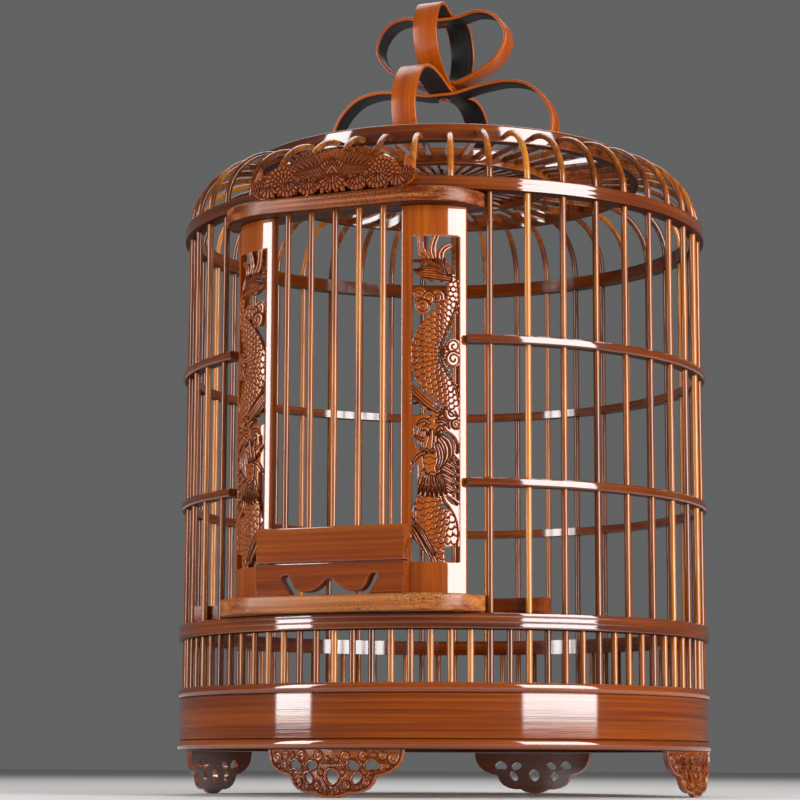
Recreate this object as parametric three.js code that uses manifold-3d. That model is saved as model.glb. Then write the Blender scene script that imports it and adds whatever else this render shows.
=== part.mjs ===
// Round bamboo bird cage with a lift-up bar door between two openwork pillars.
// Millimetres, +Z up, door towards -Y, standing on its four feet at z = 0.
import * as THREE from 'three';
import { mergeVertices } from 'three/addons/utils/BufferGeometryUtils.js';
import Module from 'manifold-3d';

const wasm = await Module();
wasm.setup();

// Driving dimensions of the round cage
const cageRadius = 170;          // outer face of the base band and of every wall hoop
const hoopDepth = 9;             // how far a wall hoop reaches inwards
const barRadius = 2.1;           // wall bars and ribs
const barInset = 4.5;            // bar centres, in from the outer face of the hoops
const barPlaces = 45;            // places round the full circle for a full-height bar
const seatGap = 0.3;             // between a piece and what it stands on or passes through
const cutOver = 1;               // how far a cutting shape runs past the face that it cuts

// Heights, stacked from the table upwards
const footHeight = 27.7;
const bandHeight = 38;
const plinthOpening = 30.3;      // between the base band and the lower hoop
const lowerHoopHeight = 9.7;
const sillThickness = 10;
const doorwayHeight = 229.2;     // between the sill and the top board
const topBoardThickness = 9.2;
const shoulderHoopHeight = 8.5;
const shoulderRise = 37;         // height of the quarter-round shoulder of the ribs
const wallHoopHeight = 5;        // the two plain hoops of the wall
const wallHoopShares = [0.275, 0.643];   // their places within the doorway's height

const bandBottom = footHeight + seatGap;
const bandTop = bandBottom + bandHeight;
const lowerHoopBottom = bandTop + plinthOpening;
const lowerHoopTop = lowerHoopBottom + lowerHoopHeight;
const sillBottom = lowerHoopTop + seatGap;
const sillTop = sillBottom + sillThickness;
const topBoardBottom = sillTop + doorwayHeight;
const topBoardTop = topBoardBottom + topBoardThickness;
const shoulderHoopBottom = topBoardTop + seatGap;
const shoulderHoopTop = shoulderHoopBottom + shoulderHoopHeight;
const ribEndHeight = shoulderHoopTop + shoulderRise;

const barCircle = cageRadius - barInset;
const hoopInner = cageRadius - hoopDepth;
const placeStep = 2 * Math.PI / barPlaces;
const holeHalf = barRadius + seatGap;

// Crown: the small top hoop, the grille of spokes inside it and the hub
const crownRadius = 128.5;
const crownThickness = 5.5;
const crownHeight = 11;
const ribSeatShare = 0.45;       // where the ribs meet the crown hoop, as a share of its height
const innerRingRadius = 71;
const innerRingThickness = 5;
const spokeWidth = 3.2;
const spokeHeight = 3.6;
const hubRadius = 30;
const hubHeight = 5;
const crownBottom = ribEndHeight - crownHeight * ribSeatShare;
const crownTop = crownBottom + crownHeight;

// Carved pillars, split from a culm, on both sides of the doorway
const pillarArcRadius = 40.4;
const pillarThickness = 4;
const pillarSweep = THREE.MathUtils.degToRad(58.7);
const pillarInset = 4.8;         // their inner edges lie back from the face of the hoops
const pillarFront = cageRadius - pillarInset;
const doorwayHalf = 41.3;        // half the clear width between the pillars
const pillarOuterX = doorwayHalf + pillarArcRadius * Math.sin(pillarSweep);
const pillarOuterY = pillarFront - pillarArcRadius * (1 - Math.cos(pillarSweep));
const doorwayAngle = Math.atan2(pillarOuterX, pillarOuterY) + seatGap / cageRadius;
// Places left without a full-height bar on each side of the door's centre line
const doorPlaces = Math.ceil((doorwayAngle + holeHalf / barCircle) / placeStep) - 1;
const windowSweepShares = [0.16, 0.86];
const windowMargin = 18.5;       // solid culm above and below the openwork

// Door rail, threshold and door bars, sliding in front of the pillars' inner edges
const slideClearance = 0.4;
const railLap = 6.3;             // how far the rail laps over a pillar
const railDepth = 8;
const railHeight = 20.6;
const railHalf = doorwayHalf + railLap;
const railBack = pillarFront + slideClearance;
const railFront = railBack + railDepth;
const thresholdHeight = 18.7;
const batHalf = 31;              // half width of the bat-shaped cut in the threshold
const batHeight = 10;
const doorBarCount = 5;
const doorBarPitch = 15.6;
const doorBarRadius = 1.9;
const doorBarInset = 2.8;        // door bars, in front of the rail's back face
const doorBarPlane = railBack + doorBarInset;
const doorBarSocket = 8;         // how deep a door bar stands in the rail
const doorBarRiseShare = 0.7;    // how far a lowered door's bars reach up the shoulder hoop

// Top board, sill and crest
const boardReach = 6;            // front edge of the top board, in front of the hoops
const sillReach = 8;
const boardFront = cageRadius + boardReach;
const sillFront = cageRadius + sillReach;
const boardFlatHalf = 46;        // half the straight front of the top board and sill
const boardCornerEase = 4.5;     // rounds the outline between the front and the ends
const boardTipInset = 3.8;       // the boards' ends, in from the circle of bars
const boardDepth = 18;           // depth of the boards from the face of the hoops inwards
const boardTipRadius = barCircle - boardTipInset;
const boardTipAngle = (doorPlaces + 1) * placeStep;
const boardInner = cageRadius - boardDepth;
const overDoorInset = 6.9;       // ribs over the door stand this far in, behind the door bars
const crestHalf = 56;
const crestHeight = 29;
const crestThickness = 2.8;
const crestBack = doorBarPlane + doorBarRadius + 2 * slideClearance;

// Base band, floor, feet and the batten inside the doorway
const bandFaceInset = 1.2;       // the plain face lies back from the two rounded edges
const bandBeadHeight = 6;
const grooveOuterInset = 1.7;
const grooveInnerInset = 7.3;
const grooveDepth = 6;
const rootStripClearance = 0.8;
const lipDepth = 4;
const floorRimWidth = 10;
const floorThickness = 7.6;
const floorClearance = 0.8;
const slatCount = 13;
const slatWidth = 17;
const slatThickness = 4;
const slatLap = 6.7;             // how far the slats run into the rim
const footHalf = 44;
const footThickness = 3.8;
const footHoleRadius = 3.2;
const footCentreHoleRadius = 4.2;
const footCentreHoleShare = 0.44;
const placesPastDoor = 2.5;      // past the doorway, so the batten's ends lie between two bars
const battenPlaces = doorPlaces + placesPastDoor;
const battenWidth = 10;
const battenThickness = 9;
const pegRadius = 1.5;
const pegInset = 3;              // a peg's middle, in from the batten's end

// Finial: two tiers of bent strips crossing over the crown
const stripWidth = 16.5;
const stripThickness = 2.2;
const finialTurn = THREE.MathUtils.degToRad(3);
const lowerTierBulge = 6;        // how far the lower strips bow out past the inner ring
const lowerTierHalf = innerRingRadius + lowerTierBulge;
const lowerTierHeight = 57;
const upperTierSideHalf = 44.7;
const upperTierDepthHalf = 37.5;
const upperTierHeight = 52.8;
const finialPegRadius = 2.4;
const finialPegHeadRadius = 4;
const finialPegHeadHeight = 1.6;
const hookHoleRadius = 2.6;

const bambooSkin = { color: 0x9c4a1c, roughness: 0.28, metalness: 0 };
const bambooBar = { color: 0x8a3f1b, roughness: 0.3, metalness: 0 };
const bambooBoard = { color: 0xb0713a, roughness: 0.4, metalness: 0 };

const cage = new THREE.Group();
cage.name = 'bamboo_bird_cage';
// The boards stand out in front, so the axis lies behind the middle of the whole footprint.
cage.position.y = (sillFront - cageRadius) / 2;

// A closed three.js geometry as a solid for cutting and joining
function solid(geometry) {
  geometry.deleteAttribute('normal');
  geometry.deleteAttribute('uv');
  const merged = mergeVertices(geometry, seatGap / 1000);
  const vertProperties = new Float32Array(merged.attributes.position.array);
  const triVerts = new Uint32Array(merged.index.array);
  return new wasm.Manifold(new wasm.Mesh({ numProp: 3, vertProperties, triVerts }));
}

// A finished solid as a named mesh of the cage
function addPiece(name, piece, finish) {
  const { vertProperties, triVerts } = piece.getMesh();
  const geometry = new THREE.BufferGeometry();
  geometry.setAttribute('position', new THREE.BufferAttribute(vertProperties, 3));
  geometry.setIndex(new THREE.BufferAttribute(triVerts, 1));
  geometry.computeVertexNormals();
  const mesh = new THREE.Mesh(geometry, new THREE.MeshStandardMaterial(finish));
  mesh.name = name;
  cage.add(mesh);
}

// Points in the (radius, height) plane, turned about the cage's axis
function turned(profile, segments, start = 0) {
  const points = profile.map(([r, z]) => new THREE.Vector2(r, z));
  points.push(points[0].clone());
  return solid(new THREE.LatheGeometry(points, segments, start).rotateX(Math.PI / 2));
}

// A plan outline in (x, y), raised from one height by another
function raised(shape, bottom, height, curveSegments = 12) {
  const options = { depth: height, bevelEnabled: false, curveSegments };
  return solid(new THREE.ExtrudeGeometry(shape, options).translate(0, 0, bottom));
}

// An elevation outline in (x, z), running in depth between two distances in front of the axis
function fronted(shape, nearFront, farFront, curveSegments = 12) {
  const options = { depth: nearFront - farFront, bevelEnabled: false, curveSegments };
  const geometry = new THREE.ExtrudeGeometry(shape, options).rotateX(Math.PI / 2);
  return solid(geometry.translate(0, -farFront, 0));
}

function outline(points) {
  return new THREE.Shape(points.map(([x, y]) => new THREE.Vector2(x, y)));
}

function rectangle(left, right, low, high) {
  return outline([[left, low], [right, low], [right, high], [left, high]]);
}

function roundOutline(x, y, radius, sides) {
  const turns = Array.from({ length: sides }, (_, i) => 2 * Math.PI * (i + 0.5) / sides);
  return outline(turns.map((turn) => [x + radius * Math.cos(turn), y + radius * Math.sin(turn)]));
}

// Part of a ring in plan, between two angles from the door's centre line
function ringSector(inner, outer, from, to) {
  const shape = new THREE.Shape();
  shape.absarc(0, 0, outer, from - Math.PI / 2, to - Math.PI / 2, false);
  shape.absarc(0, 0, inner, to - Math.PI / 2, from - Math.PI / 2, true);
  return shape;
}

function turnedTo(piece, angle) {
  return piece.rotate([0, 0, THREE.MathUtils.radToDeg(angle)]);
}

// A path through listed points, one extrusion step from each point to the next
class PointPath extends THREE.Curve {
  constructor(points) {
    super();
    this.points = points;
  }

  getPointAt(share) {
    return this.points[Math.round(share * (this.points.length - 1))].clone();
  }

  getTangentAt(share) {
    const last = this.points.length - 1;
    const here = Math.round(share * last);
    const before = this.points[Math.max(here - 1, 0)];
    const after = this.points[Math.min(here + 1, last)];
    return after.clone().sub(before).normalize();
  }
}

// A six-sided bar through points given as (distance from the axis, height)
function bentBar(places, radius) {
  const path = new PointPath(places.map(([r, z]) => new THREE.Vector3(0, -r, z)));
  const options = { steps: places.length - 1, bevelEnabled: false, extrudePath: path };
  return solid(new THREE.ExtrudeGeometry(roundOutline(0, 0, radius, 6), options));
}

function straightBar(distance, low, high, radius) {
  return raised(roundOutline(0, -distance, radius, 6), low, high - low);
}

// Square hole round a bar that runs upright through a hoop
function barHole(distance, angle, low, high) {
  const square = rectangle(-holeHalf, holeHalf, -distance - holeHalf, -distance + holeHalf);
  return turnedTo(raised(square, low - cutOver, high - low + 2 * cutOver), angle);
}

// The shoulder of a rib, from its upright stretch round to the crown hoop
function shoulderPlaces(startDistance) {
  const bends = 4;
  const reach = startDistance - crownRadius - seatGap;
  return Array.from({ length: bends + 1 }, (_, i) => {
    const turn = (Math.PI / 2) * i / bends;
    return [startDistance - reach * (1 - Math.cos(turn)), shoulderHoopTop + shoulderRise * Math.sin(turn)];
  });
}

// Angles of the full-height bars, on one side of the door and then on the other
const lastPlace = (barPlaces - 1) / 2;
const fullPlaces = [];
for (let place = doorPlaces + 1; place <= lastPlace; place += 1) {
  fullPlaces.push(place, -place);
}

// Doorway bars stand in a row, not on the bar circle
const doorBarXs = Array.from({ length: doorBarCount }, (_, i) => (
  (i - (doorBarCount - 1) / 2) * doorBarPitch));

function doorBarHoles(low, high, clearance) {
  const holes = doorBarXs.map((x) => {
    const shape = roundOutline(x, -doorBarPlane, doorBarRadius + clearance, 6);
    return raised(shape, low, high - low);
  });
  return wasm.Manifold.union(holes);
}

// Base band: a thick bent hoop with a rounded edge above and below, a groove on top for the
// feet of the bars, and a lip inside that the floor panel is pushed up against
const grooveOuter = cageRadius - grooveOuterInset;
const grooveInner = cageRadius - grooveInnerInset;
const bandFace = cageRadius - bandFaceInset;
const lipInner = hoopInner - lipDepth;
const lipBottom = bandTop - 2 * lipDepth;
const baseBand = turned([
  [hoopInner, bandBottom],
  [bandFace, bandBottom],
  [cageRadius, bandBottom + bandFaceInset],
  [cageRadius, bandBottom + bandBeadHeight],
  [bandFace, bandBottom + bandBeadHeight + bandFaceInset],
  [bandFace, bandTop - bandBeadHeight],
  [cageRadius, bandTop - bandBeadHeight + bandFaceInset],
  [grooveOuter + bandFaceInset, bandTop],
  [grooveOuter, bandTop],
  [grooveOuter, bandTop - grooveDepth],
  [grooveInner, bandTop - grooveDepth],
  [grooveInner, bandTop],
  [lipInner, bandTop],
  [lipInner, lipBottom],
  [hoopInner, lipBottom],
], barPlaces, placeStep / 2);
addPiece('base_band', baseBand, bambooSkin);

// Wall hoops, drilled for every full-height bar. The two plain ones stop at the pillars.
// A flat ring with square edges, one facet for each place of a full-height bar
function plainRing(inner, outer, bottom, top) {
  const profile = [[inner, bottom], [outer, bottom], [outer, top], [inner, top]];
  return turned(profile, barPlaces, placeStep / 2);
}

function drilledHoop(bottom, height) {
  const top = bottom + height;
  const holes = fullPlaces.map((place) => barHole(barCircle, place * placeStep, bottom, top));
  return plainRing(hoopInner, cageRadius, bottom, top).subtract(wasm.Manifold.union(holes));
}

const battenPlane = barCircle * Math.cos(battenPlaces * placeStep);
const battenHalf = barCircle * Math.sin(battenPlaces * placeStep);
const battenPegX = battenHalf - pegInset;
const battenPegBottom = lowerHoopTop - lowerHoopHeight / 2;
const battenPegHoles = [-1, 1].map((side) => {
  const shape = roundOutline(side * battenPegX, -battenPlane, pegRadius + seatGap, 8);
  return raised(shape, battenPegBottom - seatGap, lowerHoopHeight + battenThickness);
});
const lowerHoop = drilledHoop(lowerHoopBottom, lowerHoopHeight)
  .subtract(wasm.Manifold.union(battenPegHoles));
addPiece('lower_hoop', lowerHoop, bambooSkin);

wallHoopShares.forEach((share, i) => {
  const bottom = sillTop + doorwayHeight * share;
  const doorway = raised(
    ringSector(boardInner, cageRadius + cutOver, -doorwayAngle, doorwayAngle),
    bottom - cutOver,
    wallHoopHeight + 2 * cutOver,
  );
  const hoop = drilledHoop(bottom, wallHoopHeight).subtract(doorway);
  addPiece(['middle_hoop', 'upper_hoop'][i], hoop, bambooSkin);
});

const shoulderHoop = drilledHoop(shoulderHoopBottom, shoulderHoopHeight)
  .subtract(doorBarHoles(shoulderHoopBottom - cutOver, shoulderHoopTop + cutOver, slideClearance));
addPiece('shoulder_hoop', shoulderHoop, bambooSkin);

// Wall panels: a run of bars on the strip that roots them in the groove of the base band.
// Full-height bars bend over the shoulder to the crown; short ones fill in below the lower hoop.
const rootInner = grooveInner + rootStripClearance;
const rootOuter = grooveOuter - rootStripClearance;
const rootBottom = bandTop - grooveDepth + seatGap;
const rootHeight = grooveDepth - 2 * seatGap;
const barFoot = rootBottom + rootHeight / 2;
const fullBar = bentBar([[barCircle, barFoot], ...shoulderPlaces(barCircle)], barRadius);
const shortBar = straightBar(barCircle, barFoot, lowerHoopBottom - seatGap, barRadius);

function wallPanel(firstHalfPlace, lastHalfPlace, isFull) {
  const halfStep = placeStep / 2;
  const reach = halfStep / 2 - seatGap / cageRadius;
  const stripStart = firstHalfPlace * halfStep - reach;
  const stripEnd = lastHalfPlace * halfStep + reach;
  const strip = ringSector(rootInner, rootOuter, stripStart, stripEnd);
  const facets = Math.ceil((lastHalfPlace - firstHalfPlace + 1) / 2);
  const pieces = [raised(strip, rootBottom, rootHeight, facets)];
  for (let half = firstHalfPlace; half <= lastHalfPlace; half += 1) {
    pieces.push(turnedTo(isFull(half) ? fullBar : shortBar, half * halfStep));
  }
  return wasm.Manifold.union(pieces);
}

const isFullPlace = (half) => half % 2 === 0;
const firstHalf = 2 * doorPlaces + 2;
const panelCount = 3;
const barsPerSide = lastPlace - doorPlaces;
const rightPanels = [];
for (let i = 0; i < panelCount; i += 1) {
  const from = Math.ceil(barsPerSide * i / panelCount);
  const to = Math.ceil(barsPerSide * (i + 1) / panelCount) - 1;
  const lastOfSide = i === panelCount - 1;
  rightPanels.push([firstHalf + 2 * from, firstHalf + 2 * to + (lastOfSide ? 0 : 1)]);
}
rightPanels.forEach(([from, to], i) => {
  const backBar = i === panelCount - 1 ? 1 : 0;
  addPiece(`wall_panel_right_${i + 1}`, wallPanel(from, to + backBar, isFullPlace), bambooBar);
  addPiece(`wall_panel_left_${i + 1}`, wallPanel(-to, -from, isFullPlace), bambooBar);
});
addPiece('bars_below_door', wallPanel(1 - firstHalf, firstHalf - 1, () => false), bambooBar);

// Ribs over the door stand on the shoulder hoop, behind the path of the door bars
const overDoorCircle = cageRadius - overDoorInset;
const overDoorFoot = [overDoorCircle, shoulderHoopTop + 2 * seatGap];
const overDoorBends = shoulderPlaces(overDoorCircle).slice(1);
const overDoorRib = bentBar([overDoorFoot, ...overDoorBends], barRadius);
for (let place = -doorPlaces; place <= doorPlaces; place += 1) {
  const number = place + doorPlaces + 1;
  addPiece(`rib_over_door_${number}`, turnedTo(overDoorRib, place * placeStep), bambooBar);
}

// Crown hoop, and the flat grille inside it: spokes on an inner ring, round a turned hub
const crownInner = crownRadius - crownThickness;
addPiece('crown_hoop', plainRing(crownInner, crownRadius, crownBottom, crownTop), bambooSkin);

const innerRingInner = innerRingRadius - innerRingThickness;
const spokeBottom = ribEndHeight - spokeHeight / 2;
const spokeOuter = crownInner * Math.cos(placeStep / 2) - seatGap;
const spoke = raised(
  rectangle(-spokeWidth / 2, spokeWidth / 2, -spokeOuter, -hubRadius - seatGap),
  spokeBottom,
  spokeHeight,
);
const grillePieces = [plainRing(innerRingInner, innerRingRadius, crownBottom, crownTop)];
for (let place = 0; place < barPlaces; place += 1) {
  grillePieces.push(turnedTo(spoke, place * placeStep));
}
addPiece('crown_grille', wasm.Manifold.union(grillePieces), bambooBar);
const hubBottom = ribEndHeight - hubHeight / 2;
addPiece('crown_hub', raised(roundOutline(0, 0, hubRadius, 30), hubBottom, hubHeight), bambooBoard);

// Pillars: upright pieces split from a culm, with a window of cut openwork
function pillarShell(side) {
  const shape = new THREE.Shape();
  const centreX = side * doorwayHalf;
  const centreY = pillarArcRadius - pillarFront;
  const from = -Math.PI / 2;
  const to = from + side * pillarSweep;
  shape.absarc(centreX, centreY, pillarArcRadius, from, to, side < 0);
  shape.absarc(centreX, centreY, pillarArcRadius - pillarThickness, to, from, side > 0);
  return raised(shape, sillTop + seatGap, doorwayHeight - 2 * seatGap, 6);
}

// The dragon's winding body from the tail flames at the top to the claws at the foot,
// as shares of the window's width and height, each with its half width in the same shares
const dragonShares = [
  [0.22, 1.03, 0.16], [0.30, 0.92, 0.20], [0.52, 0.85, 0.26], [0.76, 0.75, 0.22],
  [0.70, 0.64, 0.26], [0.36, 0.56, 0.26], [0.28, 0.46, 0.24], [0.42, 0.38, 0.24],
  [0.36, 0.30, 0.30], [0.56, 0.22, 0.26], [0.72, 0.13, 0.22], [0.46, 0.05, 0.20],
  [0.30, -0.03, 0.16],
];
const cloudShares = [
  [0.10, 0.77, 0.30], [0.95, 0.60, 0.28], [0.02, 0.40, 0.22], [0.92, 0.33, 0.26],
  [0.02, 0.17, 0.22],
];

function windowCut(side) {
  const [fromShare, toShare] = windowSweepShares;
  const near = doorwayHalf + pillarArcRadius * Math.sin(pillarSweep * fromShare);
  const width = doorwayHalf + pillarArcRadius * Math.sin(pillarSweep * toShare) - near;
  const low = sillTop + windowMargin;
  const height = doorwayHeight - 2 * windowMargin;
  const across = (share) => side * (near + width * share);
  const up = (share) => low + height * share;
  const front = pillarFront + cutOver;
  const back = pillarFront - pillarArcRadius;
  const opening = fronted(rectangle(across(0), across(1), up(0), up(1)), front, back);
  const leftEdge = dragonShares.map(([x, z, half]) => [across(x - half), up(z)]);
  const rightEdge = dragonShares.map(([x, z, half]) => [across(x + half), up(z)]).reverse();
  const dragon = fronted(outline([...leftEdge, ...rightEdge]), front, back);
  const clouds = cloudShares.map(([x, z, radius]) => (
    fronted(roundOutline(across(x), up(z), width * radius, 8), front, back)));
  return opening.subtract(wasm.Manifold.union([dragon, ...clouds]));
}

for (const side of [-1, 1]) {
  const name = side < 0 ? 'pillar_left' : 'pillar_right';
  addPiece(name, pillarShell(side).subtract(windowCut(side)), bambooSkin);
}

// Top board and sill: straight in front, rounded back to the wall over the pillars
function boardPlan(front) {
  const tipX = boardTipRadius * Math.sin(boardTipAngle);
  const tipY = -boardTipRadius * Math.cos(boardTipAngle);
  const cornerX = tipX - boardCornerEase;
  const cornerY = boardCornerEase - front;
  const shape = new THREE.Shape();
  shape.moveTo(-boardFlatHalf, -front);
  shape.lineTo(boardFlatHalf, -front);
  shape.quadraticCurveTo(cornerX, cornerY, tipX, tipY);
  shape.absarc(0, 0, boardInner, boardTipAngle - Math.PI / 2, -boardTipAngle - Math.PI / 2, true);
  shape.lineTo(-tipX, tipY);
  shape.quadraticCurveTo(-cornerX, cornerY, -boardFlatHalf, -front);
  return shape;
}

const topBoard = raised(boardPlan(boardFront), topBoardBottom, topBoardThickness, 8)
  .subtract(doorBarHoles(topBoardBottom - cutOver, topBoardTop + cutOver, slideClearance));
addPiece('top_board', topBoard, bambooBoard);
addPiece('sill_board', raised(boardPlan(sillFront), sillBottom, sillThickness, 8), bambooBoard);

// Threshold board on the sill, with its bat-shaped cut as shares of the cut's size
const batShares = [
  [-0.95, -0.2], [-1.06, 0.72], [-1, 1], [-0.9, 0.92], [-0.82, 0.5], [-0.66, 0.25], [-0.45, 0.2],
  [-0.28, 0.38], [-0.12, 0.76], [0, 0.96],
];
const thresholdBottom = sillTop + seatGap;
const mirroredBat = batShares.slice(0, -1).map(([x, z]) => [-x, z]).reverse();
const batCut = outline([...batShares, ...mirroredBat].map(([x, z]) => (
  [batHalf * x, thresholdBottom + batHeight * z])));
const threshold = fronted(
  rectangle(-railHalf, railHalf, thresholdBottom, thresholdBottom + thresholdHeight),
  railFront,
  railBack,
).subtract(fronted(batCut, railFront + cutOver, railBack - cutOver));
addPiece('threshold_board', threshold, bambooSkin);

// Lift-up door: a bottom rail with five bars that slide through the top board
const railBottom = thresholdBottom + thresholdHeight + seatGap;
const railTop = railBottom + railHeight;
const rail = fronted(rectangle(-railHalf, railHalf, railBottom, railTop), railFront, railBack)
  .subtract(doorBarHoles(railTop - doorBarSocket, railTop + cutOver, seatGap));
addPiece('door_rail', rail, bambooSkin);
const doorBarTop = topBoardTop + shoulderHoopHeight * doorBarRiseShare;
doorBarXs.forEach((x, i) => {
  const shape = roundOutline(x, -doorBarPlane, doorBarRadius, 6);
  const low = railTop - doorBarSocket + seatGap;
  addPiece(`door_bar_${i + 1}`, raised(shape, low, doorBarTop - low), bambooBar);
});

// Crest: a carved panel on the top board, as shares of its half width and height
const crestShares = [
  [0, 1], [0.09, 0.97], [0.17, 0.92], [0.26, 0.95], [0.36, 0.84], [0.4, 0.7], [0.5, 0.68],
  [0.6, 0.7], [0.68, 0.6], [0.72, 0.42], [0.77, 0.28], [0.82, 0.42], [0.88, 0.72], [0.93, 0.5],
  [0.97, 0.24], [1, 0], [0.86, 0], [0.79, 0.07], [0.72, 0], [0.6, 0], [0.53, 0.09], [0.46, 0],
  [0.32, 0], [0.25, 0.09], [0.18, 0],
];
const crestBottom = topBoardTop + seatGap;
const crestPlace = ([x, z]) => [crestHalf * x, crestBottom + crestHeight * z];
const crestLeft = crestShares.slice(1).map(([x, z]) => [-x, z]).reverse();
const crestOutline = outline([...crestShares, ...crestLeft].map(crestPlace));
const crest = fronted(crestOutline, crestBack + crestThickness, crestBack);
addPiece('crest_panel', crest, bambooSkin);

// Four curved foot plates under the base band, pierced and scroll-edged
const footShares = [
  [1, 1], [0.975, 0.82], [0.88, 0.675], [0.78, 0.51], [0.61, 0.4], [0.55, 0.28], [0.43, 0.13],
  [0.24, 0.08], [0.19, 0],
];
const footHoleShares = [[0.335, 0.64], [0.375, 0.41], [0.6, 0.67]];
const footEdge = footShares.map(([x, z]) => [footHalf * x, footHeight * z]);
const footOutline = outline([...footEdge, ...footEdge.map(([x, z]) => [-x, z]).reverse()]);
const footSweep = Math.asin(footHalf / cageRadius) + seatGap / footHalf;
const footPlate = raised(
  ringSector(bandFace - footThickness, bandFace, -footSweep, footSweep),
  0,
  footHeight,
  6,
);
const footFront = cageRadius + cutOver;
const footBack = (cageRadius - footThickness) * Math.cos(footSweep) - footThickness;
const footHoles = footHoleShares.flatMap(([x, z]) => [-1, 1].map((side) => {
  const hole = roundOutline(side * footHalf * x, footHeight * z, footHoleRadius, 6);
  return fronted(hole, footFront, footBack);
}));
const centreHole = roundOutline(0, footHeight * footCentreHoleShare, footCentreHoleRadius, 8);
footHoles.push(fronted(centreHole, footFront, footBack));
const foot = footPlate
  .intersect(fronted(footOutline, footFront, footBack))
  .subtract(wasm.Manifold.union(footHoles));
['front', 'right', 'back', 'left'].forEach((name, i) => {
  addPiece(`foot_${name}`, turnedTo(foot, i * Math.PI / 2), bambooSkin);
});

// Straight batten behind the sill, pegged down on the lower hoop at both ends
const battenBottom = lowerHoopTop + seatGap;
const batten = raised(
  rectangle(-battenHalf, battenHalf, -battenPlane - battenWidth / 2, -battenPlane + battenWidth / 2),
  battenBottom,
  battenThickness,
).subtract(wasm.Manifold.union(battenPegHoles));
addPiece('inner_batten', batten, bambooBoard);
for (const side of [-1, 1]) {
  const shape = roundOutline(side * battenPegX, -battenPlane, pegRadius, 8);
  const pegTop = battenBottom + battenThickness + pegRadius / 2;
  const peg = raised(shape, battenPegBottom, pegTop - battenPegBottom);
  addPiece(side < 0 ? 'batten_peg_left' : 'batten_peg_right', peg, bambooBar);
}

// Floor panel: a rim with slats across it, pushed up into the base band from below
const floorOuter = hoopInner - floorClearance;
const floorTop = lipBottom - seatGap;
const floorBottom = floorTop - floorThickness;
const floorInner = floorOuter - floorRimWidth;
const slatPitch = 2 * floorInner / slatCount;
const floorPieces = [plainRing(floorInner, floorOuter, floorBottom, floorTop)];
for (let i = 0; i < slatCount; i += 1) {
  const x = (i - (slatCount - 1) / 2) * slatPitch;
  const farSide = Math.abs(x) + slatWidth / 2;
  const half = Math.sqrt((floorInner + slatLap) ** 2 - farSide ** 2);
  const slat = rectangle(x - slatWidth / 2, x + slatWidth / 2, -half, half);
  floorPieces.push(raised(slat, floorBottom + (floorThickness - slatThickness) / 2, slatThickness));
}
addPiece('floor_panel', wasm.Manifold.union(floorPieces), bambooBoard);

// A bent strip in the (x, z) plane, its centre line through the given points
function bentStrip(points, closed, steps) {
  const bends = points.map(([x, z]) => new THREE.Vector3(x, z, 0));
  const curve = new THREE.CatmullRomCurve3(bends, closed);
  const places = Array.from({ length: closed ? steps : steps + 1 }, (_, i) => i / steps);
  const edge = (offset) => places.map((share) => {
    const point = curve.getPointAt(share);
    const tangent = curve.getTangentAt(share);
    return [point.x - tangent.y * offset, point.y + tangent.x * offset];
  });
  const inside = edge(stripThickness / 2);
  const outside = edge(-stripThickness / 2);
  const shape = closed ? outline(outside) : outline([...outside, ...inside.reverse()]);
  if (closed) shape.holes.push(outline(inside));
  return fronted(shape, stripWidth / 2, -stripWidth / 2);
}

// Finial strips, as shares of a tier's half width and height, from the middle outwards or upwards
const lowerTierShares = [
  [0, 0.91], [0.14, 0.914], [0.36, 0.975], [0.6, 1], [0.8, 0.92], [0.95, 0.7], [1, 0.42],
];
const upperTierShares = [
  [0, 0], [0.14, 0], [0.27, 0.001], [0.55, 0.11], [0.84, 0.28], [1, 0.53], [0.97, 0.74],
  [0.8, 0.93], [0.54, 1], [0.25, 0.936], [0, 0.93],
];
const crossingShare = lowerTierShares[0][1];
const topCrossingShare = upperTierShares.at(-1)[1];
const innerRingMiddle = innerRingRadius - innerRingThickness / 2;
const lowerTierBottom = crownTop + seatGap;
const stripStep = stripThickness + seatGap;

// A lower strip ends on the inner ring, cut off flat where it stands
function lowerStrip(lift) {
  const height = lowerTierHeight + lift;
  const half = lowerTierShares.map(([x, z]) => [lowerTierHalf * x, lowerTierBottom + height * z]);
  half.push([innerRingMiddle, lowerTierBottom - stripThickness]);
  const mirrored = half.slice(1).map(([x, z]) => [-x, z]).reverse();
  const offcut = rectangle(-lowerTierHalf, lowerTierHalf, -stripWidth, stripWidth);
  const offcutHeight = 3 * stripThickness;
  return bentStrip([...mirrored, ...half], false, 30)
    .subtract(raised(offcut, lowerTierBottom - offcutHeight, offcutHeight));
}

const lowerTierCentre = lowerTierBottom + lowerTierHeight * crossingShare;
const upperTierBottom = lowerTierCentre + 2 * stripStep;

// An upper strip is a closed loop; the side-to-side one lies inside the other
function upperStrip(halfWidth, inset) {
  const height = upperTierHeight - 2 * inset / topCrossingShare;
  const half = upperTierShares.map(([x, z]) => [halfWidth * x, upperTierBottom + inset + height * z]);
  const mirrored = half.slice(1, -1).map(([x, z]) => [-x, z]).reverse();
  return bentStrip([...half, ...mirrored], true, 36);
}

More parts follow.
